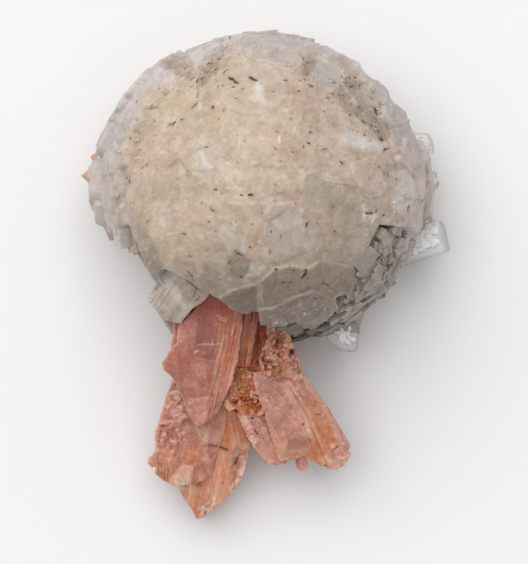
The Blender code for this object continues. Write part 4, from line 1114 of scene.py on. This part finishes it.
        "coarse": 0.50, "lumps": 1.3, "wide": 2.6, "stripes": (0.0, 1.0, 0.0),
        "ridges": ((0.3, 0.12, 0.25), (0.8, 0.12, 0.2)),
        "patches": (
            (((268, 327), (289, 326), (290, 342), (268, 345)), -0.15, "tan", 0.6, 0.7, 0.2),
            (((262, 350), (276, 346), (283, 360), (276, 378), (262, 374)), 0.25, "granular", 0.7, 1.0, 0.3),
            (((288, 348), (296, 352), (300, 372), (292, 378)), -0.12, "mauve", 0.6, 0.5, 0.2),
        ),
        "marks": ((291, 352, 80, 0.3, 0.14), (278, 340, 30, 0.2, 0.1)),
        "sparks": ((270, 366, 0, 0.14, 0.14), (276, 352, 0, 0.1, 0.12), (281, 333, 0, 0.1, 0.1)),
    },
    "orangeRubble": {
        "left": ((236, 340), (232, 372), (223, 404)), "right": ((262, 340), (264, 378), (268, 412)),
        "tip": ((0, 0), (0.15, 0.4), (0.3, 0.1), (0.45, 0.5), (0.6, 0.1), (0.75, 0.45), (1, 0)),
        "thickness": 2.4, "middle": 5.75, "anchor": (-1.4, -13.5), "lean": (0.0, -0.02), "seed": 41,
        "tones": ("orange", "amber", "peach"), "lines": (0.02, -60), "rough": 0.9, "cells": (110, 84), "coarse": 0.42,
        "wide": 2.6, "stripes": (0.0, 1.0, 0.0),
        "patches": (
            (((230, 388), (240, 384), (246, 392), (238, 400), (230, 398)), 0.25, "peach", 0.7, 0.3, 0.6),
            (((243, 366), (256, 364), (258, 376), (246, 380)), 0.15, "orange", 0.6, 0.8, 0.3),
            (((246, 386), (262, 384), (266, 410), (252, 412)), -0.10, "amber", 0.6, 0.3, 0.1),
            # painted shade under the ball's edge
            (((228, 334), (272, 334), (266, 366), (236, 364)), -0.10, "deep", 0.85, 0.3, 0),
        ),
        "marks": ((258, 408, 0, 0.3, 0.14), (246, 404, 30, 0.25, 0.1)),
        "sparks": ((250, 372, 0, 0.12, 0.12), (248, 395, -60, 0.5, 0.06), (253, 392, -60, 0.5, 0.06)),
        "scores": ((250, 396, -60, 1.0, 0.06), (256, 398, -60, 1.0, 0.06)),
    },
    "pinkStrip": {
        "left": ((242, 296), (243, 316), (237, 366)), "right": ((259, 296), (259, 316), (250, 366)),
        "tip": ((0, 0), (0.5, 0.05), (1, 0)),
        "thickness": 1.8, "middle": 7.0, "anchor": (-1.0, -10.0), "lean": (0.0, 0.28), "seed": 47,
        "tones": ("orange", "mauve", "pink"), "lines": (0.04, -80), "rough": 0.0, "cells": (60, 30), "wide": 1.2,
        "stripes": (0.0, 1.0, 0.6), "ridges": ((0.7, 0.1, 0.25),),
    },
    "rootWall": {
        "left": ((231, 292), (231, 366), (236, 420)),
        "right": ((299, 292), (285, 360), (282, 410)),
        "tip": ((0, 0), (0.5, 0.3), (1, 0)),
        "thickness": 2.8, "middle": 5.4, "anchor": (0.0, -11.0), "lean": (0.0, 0.24), "seed": 31,
        # deep, its second tone, is partly the wall's own dark red and partly painted shade under the ball
        "tones": ("amber", "deep", "amber"), "lines": (0.03, -80), "rough": 0.6, "wide": 4.0,
        "ridges": ((0.4, 0.04, 0.2), (0.7, 0.03, 0.2)),
        "patches": ((((225, 362), (262, 362), (264, 424), (228, 420)), 0.0, "orange", 0.85, 0.9, 0),),
    },
}


def alongChain(chain, share):
    # points at given shares of a chain's length
    steps = np.hypot(*np.diff(chain, axis=0).T)
    travelled = np.concatenate([[0], np.cumsum(steps)]) / steps.sum()
    return np.stack([np.interp(share, travelled, chain[:, 0]), np.interp(share, travelled, chain[:, 1])], axis=-1)


def bladeFace(plan, u, v):
    # One face of a blade. Across it, v goes from its left chain to its right one; along it, u goes to the tip.
    seed = plan["seed"]
    leftChain, rightChain = fromFront(plan["left"]), fromFront(plan["right"])
    left, right = alongChain(leftChain, u), alongChain(rightChain, u)
    flat = left + (right - left) * v[..., None]
    fromSides = np.stack([v, 1 - v], axis=-1)
    ragged = np.stack([smoothNoise(np.stack([u * 45, u * 0, u * 0], -1), 1.0, seed + s) for s in (1, 2)], -1)
    flat[..., 0] += 0.05 * (ragged * np.exp(-fromSides / 0.06)).sum(axis=-1)  # both sides are ragged
    tip = np.array(plan["tip"], dtype=float)
    ahead = np.interp(v, tip[:, 0], tip[:, 1]) * ramp(u, 0.80, 1.0)
    ends = [(alongChain(chain, np.array([1.0])) - alongChain(chain, np.array([0.5])))[0] for chain in
            (leftChain, rightChain)]
    down = (ends[0] + ends[1]) / np.hypot(*(ends[0] + ends[1]))
    flat = flat + ahead[..., None] * down
    width = np.hypot(*np.moveaxis(right - left, -1, 0))
    return flat, np.minimum(v, 1 - v) * width


def bladeRelief(plan, palette, flat, rimward, u, v):
    # Its height over the leaning plane: fine lines along the blade, narrow ridges, stepped patches and grains.
    seed, c = plan["seed"], palette
    xy = flat.reshape(-1, 2)
    spots = np.column_stack([xy, np.full(len(xy), float(seed))])
    turn = math.radians(plan["lines"][1])
    over = xy @ [math.sin(turn), -math.cos(turn)]
    down = xy @ [math.cos(turn), math.sin(turn)]
    fine = layeredNoise(np.column_stack([over, down * 0.025, spots[:, 2]]), 0.24, 3, seed)
    broad = layeredNoise(np.column_stack([over, down * 0.12, spots[:, 2]]), 1.2, 2, seed + 4)
    terraces = layeredNoise(np.column_stack([over, down * 0.12, spots[:, 2]]), 1.2, 2, seed + 5) * 3.0
    level = np.floor(terraces) + ramp(terraces - np.floor(terraces), 0.44, 0.56)
    first, second, third = (c[toneName] for toneName in plan["tones"])
    tone = mixTo(first, second, 0.4 + 0.9 * layeredNoise(spots, 2.0, 3, seed + 40))
    tone = mixTo(tone, third, ramp(broad, 0.05, 0.5))
    lift, grain, line, tone = layPatches(plan["patches"], c, xy, spots, tone, seed + 60, 0.10)
    roughHere = ramp(layeredNoise(spots, 1.6, 2, seed + 9), -0.2, 0.4) * plan["rough"]
    grain = np.maximum(grain, roughHere)
    warped = spots + 0.12 * np.stack([smoothNoise(spots, 0.5, seed + s) for s in (30, 31, 32)], axis=-1)
    cellGap, cellOwn, cellWay = cellNoise(warped, 0.36, seed + 8)
    _, bigOwn, bigWay = cellNoise(warped, plan["lumps"], seed + 18)
    rough = 0.8 * (cellOwn - 0.5) + 0.8 * (bigOwn - 0.5) + 0.3 * smoothNoise(spots, 0.2, seed + 7)
    rough = rough + tiltedCells(bigOwn, bigWay, 1.6) + tiltedCells(cellOwn, cellWay, 1.6)
    rough = rough - 0.3 * np.exp(-((cellGap / 0.05) ** 2))
    relief = plan["lines"][0] * fine * 1.3 + 0.05 * broad + 0.03 * level + lift
    relief = relief + plan["coarse"] * grain * rough
    flatV, alongU = v.ravel(), u.ravel() * 11
    none = np.zeros(len(xy))
    crest = none
    for place, half, tall in plan["ridges"]:
        sway = place + 0.005 * smoothNoise(np.column_stack([alongU, none + place * 50, none]), 3.0, seed)
        here = ramp(smoothNoise(np.column_stack([alongU, none, none + place * 9]), 2.5, seed), -0.5, 0.3)
        shape = np.clip(1 - np.abs(flatV - sway) / (half * 1.8), 0, 1) * here
        crest = np.maximum(crest, shape)
        relief = relief + tall * shape
    start, end, strength = plan["stripes"]
    striped = strength * ramp(flatV, start - 0.04, start + 0.04) * ramp(flatV, end + 0.04, end - 0.04)
    across = np.column_stack([flatV * plan["wide"], alongU * 0.05, spots[:, 2]])
    stripe = layeredNoise(across, 0.26, 2, seed + 3)
    relief = relief + 0.05 * striped * stripe
    cloud = layeredNoise(spots, 0.8, 4, seed + 6)
    scores, marks, sparks = (capsuleShare(xy, markPlaces(plan[kind]), soft) for kind, soft in
                             (("scores", 0.04), ("marks", 0.06), ("sparks", 0.05)))
    relief = relief - 0.07 * scores - 0.04 * marks + 0.04 * sparks - 0.12 * np.exp(-rimward.ravel() / 0.08)
    tone = tone * (1 + 0.12 * fine + 0.04 * (level - 0.5) + 0.20 * cloud)[:, None]
    tone = mixTo(tone, c["frost"], 0.30 * ramp(layeredNoise(spots, 1.1, 4, seed + 11), 0.1, 0.5))
    tone = mixTo(tone, c["frost"], 0.55 * striped * ramp(stripe, 0.05, 0.5))
    tone = mixTo(tone, c["amber" if "amber" in c else "stainAndShade"], 0.8 * striped * ramp(-stripe, 0.0, 0.45))
    # painted shade in the scored grooves
    tone = mixTo(tone, c["deep"], 0.35 * scores)
    tone = tone * (1 + grain * 0.35 * (cellOwn - 0.5))[:, None]
    # on the rough parts raised lumps are mixed towards frost, partly real frost and partly painted highlight, and
    # hollows towards deep, painted shade
    tone = mixTo(tone, c["frost"], 0.55 * grain * ramp(rough, 0.1, 0.7))
    tone = mixTo(tone, c["deep"], 0.35 * grain * ramp(rough, -0.1, -0.7))
    # paler along the blade's sides and on the ridges' crests, partly frost and partly painted highlight; paler too
    # along the patches' borders
    tone = mixTo(tone, c["frost"], 0.30 * np.exp(-rimward.ravel() / 0.08) + 0.22 * crest**2 + 0.18 * line)
    # painted glints: white specks, commoner on the rough parts, and the sparks whitened
    glint = ramp(layeredNoise(spots, 0.13, 2, seed + 70), 0.38, 0.60) * (0.45 + 0.55 * grain)
    tone = mixTo(tone, c["white"], 0.6 * glint + 0.6 * sparks)
    tone = mixTo(tone, c["speck"], 0.9 * marks)
    # painted shade on the blade's upper end, where the ball overhangs it
    if plan["shaded"]:
        tone = mixTo(tone, c["deep"], 0.5 * ramp(xy[:, 1], -9.6, -7.6))
    return relief.reshape(u.shape), tone.reshape(*u.shape, 3)


def bladePoints(plan, palette):
    # A closed loop for every row: the front from left to right, the right wall down, the back from right to left, the
    # left wall up. The first and last rows close on their own middle line.
    plan = {**plainBlade, **plan}
    (rows, columns), walls = plan["cells"], plan["walls"]
    u = np.concatenate([[0.0], np.linspace(0, 1, rows), [1.0, 1.0, 1.0]])
    full = np.ones(len(u))  # share of the thickness in each row
    full[0], full[-3:] = 0.0, (0.75, 0.4, 0.0)
    even = np.linspace(0, 1, columns)
    v = 0.3 * (0.5 - 0.5 * np.cos(np.linspace(0, math.pi, columns))) + 0.7 * even  # closer together at the sides
    gridU, gridV = np.meshgrid(u, v, indexing="ij")
    flat, rimward = bladeFace(plan, gridU, gridV)
    relief, tone = bladeRelief(plan, palette, flat, rimward, gridU, gridV)
    tone = tone * (1 + (np.array(plan["tint"]) - 1) * ramp(gridU, 0.85, 0.55)[..., None])
    x0, y0 = plan["anchor"]
    plane = plan["middle"] + plan["lean"][0] * (flat[..., 0] - x0) + plan["lean"][1] * (flat[..., 1] - y0)
    thick = plan["thickness"] / 2 * (1 - 0.30 * gridU**3) * full[:, None]
    backNoise = layeredNoise(np.column_stack([flat.reshape(-1, 2), np.full(flat[..., 0].size, 3.0)]), 0.9, 3, 77)
    top = plane + thick + relief * full[:, None]
    bottom = plane - thick + 0.14 * backNoise.reshape(plane.shape) * full[:, None]
    front = np.dstack([flat, top])
    back = np.dstack([flat, bottom])[:, ::-1]
    t = (np.arange(1, walls + 1) / (walls + 1))[None, :, None]
    swell = (np.sin(t * math.pi) * 0.07 * full[:, None, None]) * np.array([1.0, 0, 0])
    rightWall = front[:, -1:] * (1 - t) + back[:, :1] * t + swell
    leftWall = back[:, -1:] * (1 - t) + front[:, :1] * t - swell
    loop = np.concatenate([front, rightWall, back, leftWall], axis=1)
    # painted shade: the walls and the back take darker copies of the front's tone
    wallTone = np.repeat((tone[:, -2:-1] + tone[:, 1:2]) / 2 * 0.9, walls, axis=1)
    loopTone = np.concatenate([tone, wallTone, tone[:, ::-1] * 0.85, wallTone], axis=1)
    return loop, loopTone


def keepAboveGround(points):
    # no point lower than 0.12 mm above the ground
    return np.maximum(points, (-np.inf, -np.inf, 0.12))


weldGap = 0.0005  # mm; points nearer than this become one, which closes the rows that end a loop


def addBlade(name, plan, palette, finish, slotName):
    # one closed mesh from the loops of all the rows
    loop, tone = bladePoints(plan, palette)
    points = keepAboveGround(loop.reshape(-1, 3))
    return addPiece(name, points, gridFaces(*loop.shape[:2], closed=True), materials[finish], slotName,
                    tone.reshape(-1, 3), weld=weldGap)


def makeBlades():
    for name, plan in blades.items():
        finish = "frostedSerandite" if plan["rough"] > 0.3 else "rosySerandite"
        addBlade(name, plan, seranditeTones, finish, "serandite")
    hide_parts("serandite_crystals")


makeBlades()

# leifite at the lower left, shaped the same way as the blades
cornerCrystals = {
    "cornerCrystal": {
        "left": ((176, 264), (160, 280), (148.6, 299)), "right": ((216, 284), (207, 299), (194, 308), (181.6, 323)),
        "tip": ((0, 0), (0.3, 0.20), (0.6, 0.50), (1, 0)),
        "thickness": 3.4, "middle": 8.6, "anchor": (-6.3, -7.4), "lean": (0.30, 0.25), "seed": 61,
        "tones": ("beige", "paleLilac", "lilac"), "lines": (0.02, -130), "rough": 0.15, "cells": (90, 70), "wide": 3.0,
        "stripes": (0.0, 0.35, 0.6),
        "ridges": ((0.10, 0.02, 0.12), (0.20, 0.02, 0.12), (0.33, 0.02, 0.14)), "shaded": False,
        "patches": (
            (((163, 282), (171, 277), (192, 303), (185, 309)), 0.06, "white", 0.6, 0.2, 0.2),
            (((150, 286), (167, 266), (175, 274), (158, 292)), -0.10, "greyBrown", 0.7, 0.1, 0.5),
            (((146, 300), (158, 291), (182, 326), (168, 324)), 0.05, "lilac", 0.5, 0.3, 0.4),
            (((192, 290), (210, 284), (208, 300), (196, 308)), -0.03, "beige", 0.6, 0.2, 0.2),
        ),
        "marks": ((196, 294, 70, 0.4, 0.06), (200, 298, 60, 0.3, 0.06), (197, 300, 60, 0.2, 0.06)),
        "sparks": ((170, 290, 50, 0.5, 0.06), (176, 297, 50, 0.3, 0.05)),
        "scores": ((160, 283, -52, 0.9, 0.05), (163, 279, -52, 0.9, 0.05)),
    },
    "lowerSliver": {
        "left": ((160, 312), (165, 322), (175, 338)), "right": ((190, 306), (186, 322), (182, 338)),
        "tip": ((0, 0), (0.5, 0.3), (1, 0)),
        "thickness": 2.4, "middle": 6.0, "anchor": (-6.3, -9.3), "lean": (0.1, 0.25), "seed": 67,
        "tones": ("greyBrown", "dusk", "lilac"), "lines": (0.04, -60), "rough": 0.2, "cells": (40, 30), "wide": 1.5,
        "ridges": ((0.4, 0.05, 0.12),), "shaded": False,
    },
}


for cornerName, cornerPlan in cornerCrystals.items():
    addBlade(cornerName, cornerPlan, leifiteTones, "rimLeifite", "leifite")

# splinters: middle and size in mm, turn about the line of sight in degrees, tone
splinters = (
    ((-7.6, -18.5, 4.0), (0.6, 0.7, 1.3), -60, "peach"),
    ((2.5, -18.5, 4.2), (0.6, 0.9, 1.6), 8, "rose"), ((5.0, -16.4, 5.0), (0.4, 0.7, 3.4), 30, "rose"),
)
# heaps: middle and spread in mm, count, smallest and largest size in mm, tones
heaps = (
    ((1.2, -11.9, 7.55), (0.7, 0.9, 0.12), 16, (0.25, 0.7), ("tan", "peach")),
    ((-1.5, -12.7, 6.7), (0.6, 0.9, 0.15), 22, (0.2, 0.6), ("orange", "peach")),
    ((-1.1, -14.2, 6.55), (0.6, 0.7, 0.15), 16, (0.2, 0.5), ("orange", "amber")),
)
rubbleLook = {"heapTint": (0.9, 0.78, 0.65), "seed": 44}


def makeRubble():
    # blocks heaped at random round each heap's middle, and the single splinters
    rng = np.random.default_rng(rubbleLook["seed"])
    middles, sizes, axes, tones = [], [], [], []
    for middle, spread, count, sizeRange, toneNames in heaps:
        middles.append(np.array(middle) + np.clip(rng.normal(0, 0.75, (count, 3)), -1.4, 1.4) * spread)
        size = rng.uniform(*sizeRange, count)
        sizes.append(np.stack([size, size * rng.uniform(0.5, 1, count), size * rng.uniform(0.8, 1.6, count)], axis=1))
        axes.append(rng.normal(0, 1, (count, 3)))
        a, b = (seranditeTones[toneName] for toneName in toneNames)
        tones.append(mixTo(np.tile(a, (count, 1)), b, rng.uniform(0, 1, count)) * rubbleLook["heapTint"])
    for middle, size, turn, toneName in splinters:
        t = math.radians(turn)
        middles.append(np.array([middle]))
        sizes.append(np.array([size]))
        axes.append(np.array([[math.sin(t), -math.cos(t), -0.28]]))
        tones.append(seranditeTones[toneName][None])
    middles, sizes, axes, tones = (np.concatenate(a) for a in (middles, sizes, axes, tones))
    ups = np.tile([0.0, 0.0, 1.0], (len(middles), 1)) + rng.normal(0, 0.25, (len(middles), 3))
    bevel = sizes.min(axis=1) * 0.14
    points, faces = blockMesh(middles, axes, ups, sizes, bevel, rng, 0.2, 0.1)
    addPiece("seranditeRubble", keepAboveGround(points), faces, materials["frostedSerandite"], "serandite",
             repeatTone(tones, points), smooth=False)


makeRubble()


# Clear crystals

# The outline is in mm from the ball's middle, as seen from the front. middle is the height halfway through the crystal
# at the anchor, lean its slopes, and spread how far out towards the outline the white flakes go.
clearPlans = {
    "clear_crystal_upper": {
        "outline": ((9.2, 4.4), (11.5, 4.35), (11.8, 3.8), (11.9, 3.0), (11.7, 2.75), (9.2, 2.3)),
        "thickness": 2.0, "middle": 3.6, "anchor": (10.8, 3.3), "lean": (0.0, 0.0), "bevel": 0.14,
        "spread": 0.62, "flakes": 60, "seed": 0,
    },
    "clear_crystal_small": {
        "outline": ((10.2, 1.9), (11.5, 1.9), (12.1, 1.6), (12.15, 1.1), (12.3, 0.8), (12.1, 0.45), (11.7, 0.35),
                    (10.2, 0.2)),
        "thickness": 1.5, "middle": 3.4, "anchor": (11.3, 1.1), "lean": (0.0, 0.0), "bevel": 0.14,
        "spread": 0.55, "flakes": 40, "seed": 7,
    },
    "clear_crystal_large": {
        "outline": ((8.8, -2.4), (11.9, -1.7), (12.3, -1.75), (12.55, -2.1), (12.95, -3.9), (9.9, -4.9),
                    (8.8, -5.1)),
        "thickness": 2.4, "middle": 4.6, "anchor": (10.8, -3.3), "lean": (0.03, 0.04), "bevel": 0.14,
        "spread": 0.66, "flakes": 150, "seed": 14,
    },
    "clear_crystal_bottom": {
        "outline": ((4.0, -8.6), (6.2, -8.6), (6.7, -9.3), (6.4, -10.95), (5.7, -11.0), (5.1, -10.8),
                    (4.5, -10.2)),
        "thickness": 2.3, "middle": 4.6, "anchor": (5.5, -9.8), "lean": (0.0, 0.05), "bevel": 0.14,
        "spread": 0.6, "flakes": 34, "seed": 21,
    },
}
tinyGrain = {
    "outline": ((8.3, -5.3), (8.9, -5.2), (9.05, -5.7), (8.6, -6.1), (8.1, -5.9)),
    "thickness": 0.9, "middle": 3.4, "anchor": (8.6, -5.6), "lean": (0.0, 0.0), "bevel": 0.08, "seed": 40,
}
flakeLook = {"tone": (0.99, 0.98, 0.97), "sizes": (0.12, 0.65), "shallow": 0.7, "seed": 57}


def outlineSlab(plan):
    # a closed outline carried from the back to the front: drawn in to a point, out to the bevel, up, and in again
    bevel, half = plan["bevel"], plan["thickness"] / 2
    path = alongChain(np.array(plan["outline"] + plan["outline"][:1]), np.linspace(0, 1, 97)[:-1])
    path = (path + np.roll(path, 1, axis=0) + np.roll(path, -1, axis=0)) / 3
    centre = path.mean(axis=0)
    inset = bevel / np.hypot(*(path - centre).T).mean()
    across = (0.0, 0.25, 0.5, 0.75, 1 - inset)
    steps = [(k, -half) for k in across] + [
        (1.0, -half + bevel), (1.0, -half / 2), (1.0, 0.0), (1.0, half / 2), (1.0, half - bevel)] + [
        (k, half) for k in across[::-1]]
    share, height = np.array(steps).T
    flat = centre + (path - centre)[None] * share[:, None, None]
    z = plan["middle"] + height[:, None] + ((flat - plan["anchor"]) * plan["lean"]).sum(axis=-1)
    points = np.dstack([flat, z])
    waver = np.stack([layeredNoise(points, 0.5, 3, plan["seed"] + k) for k in range(3)], axis=-1)
    points = points + 0.015 * waver * (share > 0)[:, None, None]
    return points.reshape(-1, 3), gridFaces(len(steps), len(path), closed=True)


def makeFlakes(name, plan, rng):
    # thin white flakes in the front face, and thicker ones deeper in, placed at random between the outline's corners
    count, thickness, lean = plan["flakes"], plan["thickness"], plan["lean"]
    corners = np.array(plan["outline"])
    share = rng.dirichlet(np.full(len(corners), 0.7), count)
    spots = corners.mean(axis=0) + (share @ corners - corners.mean(axis=0)) * plan["spread"] * 1.1
    shallow = np.arange(count) < flakeLook["shallow"] * count
    size = rng.uniform(*flakeLook["sizes"], count) * (0.7 + 0.3 * thickness / 2)
    sizes = np.stack([size, size * rng.uniform(0.3, 0.9, count), np.where(shallow, 0.10, size * 0.5)], axis=1)
    lift = np.where(shallow, thickness / 2 - 0.03, thickness * rng.uniform(-0.3, 0.2, count))
    lift = plan["middle"] + lift + ((spots - plan["anchor"]) * lean).sum(axis=1)
    axes = rng.normal(0, 0.10, (count, 3)) + (-lean[0], -lean[1], 1)
    ups = rng.normal(0, 1, (count, 3))
    points, faces = blockMesh(np.column_stack([spots, lift]), axes, ups, sizes, size * 0.1, rng, 0.3, 0.2)
    tone = np.tile(flakeLook["tone"], (count, 1)) * rng.uniform(0.85, 1.0, count)[:, None]
    addPiece(name, points, faces, materials["frostyHeart"], "clear", repeatTone(tone), smooth=False)


def makeClear():
    rng = np.random.default_rng(flakeLook["seed"])
    for node, plan in clearPlans.items():
        name = "clear" + node.split("_")[-1].capitalize()
        piece = addPiece(name, *outlineSlab(plan), materials["clearCrystal"], "clear", weld=weldGap)
        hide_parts(node)
        makeFlakes(name + "Heart", plan, rng)
    addPiece("clearGrain", *outlineSlab(tinyGrain), materials["clearCrystal"], "clear", weld=weldGap)


makeClear()


def dressPoints():
    # the two small orange points at the left rim keep their CAD shape; one plain tone takes the place of the attribute
    point = mineralMaterial("rosySerandite")
    point.name = "palePoint"
    toneNode = next(n for n in point.node_tree.nodes if n.bl_idname == "ShaderNodeAttribute")
    tint = toneNode.outputs["Color"].links[0].to_node
    point.node_tree.nodes.remove(toneNode)
    tint.inputs[0].default_value = tuple(0.6 * seranditeTones["granular"] + 0.4 * leifiteTones["rosy"])
    for name in ("serandite_point_upper", "serandite_point_lower"):
        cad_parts[name].data.materials.clear()
        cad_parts[name].data.materials.append(point)


dressPoints()
print("crystals dressed")


# Floor, light and camera

# lengths in m
studio = {"floor": (0.87, 0.87, 0.87), "floorHalf": 3, "floorDrop": 0.00002, "world": 0.49, "key": 6.5,
          "keyPlace": (-0.16, 0.36, 0.72), "keyAim": (0, -0.004, 0.004), "keySize": 1.0}
# lengths in mm; tall is what the picture shows from top to bottom at the given distance
shot = {"place": (-0.07, -6.09, 255.5), "distance": 250.0, "tall": 39.48, "sensor": 36.0}


def makeStudio():
    # a wide pale floor, one large soft light from above and an even white surround
    half, low = studio["floorHalf"], -studio["floorDrop"]
    mesh = bpy.data.meshes.new("floor")
    mesh.from_pydata([(-half, -half, low), (half, -half, low), (half, half, low), (-half, half, low)], [],
                     [(0, 1, 2, 3)])
    floor = bpy.data.objects.new("floor", mesh)
    bpy.context.scene.collection.objects.link(floor)
    material = bpy.data.materials.new("paleFloor")
    material.use_nodes = True
    wire(material.node_tree, material.node_tree.nodes["Principled BSDF"],
         {"Base Color": (*studio["floor"], 1.0), "Roughness": 0.7, "Specular IOR Level": 0.2})
    mesh.materials.append(material)

    light = bpy.data.lights.new("key", "AREA")
    light.energy = studio["key"]
    light.size = studio["keySize"]
    key = bpy.data.objects.new("key", light)
    key.location = studio["keyPlace"]
    aim = Vector(studio["keyAim"]) - Vector(studio["keyPlace"])
    key.rotation_euler = aim.to_track_quat("-Z", "Y").to_euler()
    bpy.context.scene.collection.objects.link(key)

    world = bpy.data.worlds.new("studio")
    world.use_nodes = True
    wire(world.node_tree, world.node_tree.nodes["Background"],
         {"Color": (1.0, 1.0, 1.0, 1.0), "Strength": studio["world"]})
    bpy.context.scene.world = world


def makeCamera():
    # straight down on the specimen, with the photograph's framing at the ball's middle
    data = bpy.data.cameras.new("camera")
    data.sensor_fit = "VERTICAL"
    data.sensor_height = shot["sensor"]
    data.lens = shot["sensor"] * shot["distance"] / shot["tall"]
    data.clip_start = 0.01
    data.clip_end = 10.0
    camera = bpy.data.objects.new("camera", data)
    camera.location = [c * mm for c in shot["place"]]
    bpy.context.scene.collection.objects.link(camera)
    bpy.context.scene.camera = camera
    bpy.context.scene.view_settings.view_transform = "Standard"


makeStudio()
makeCamera()
print("studio ready")
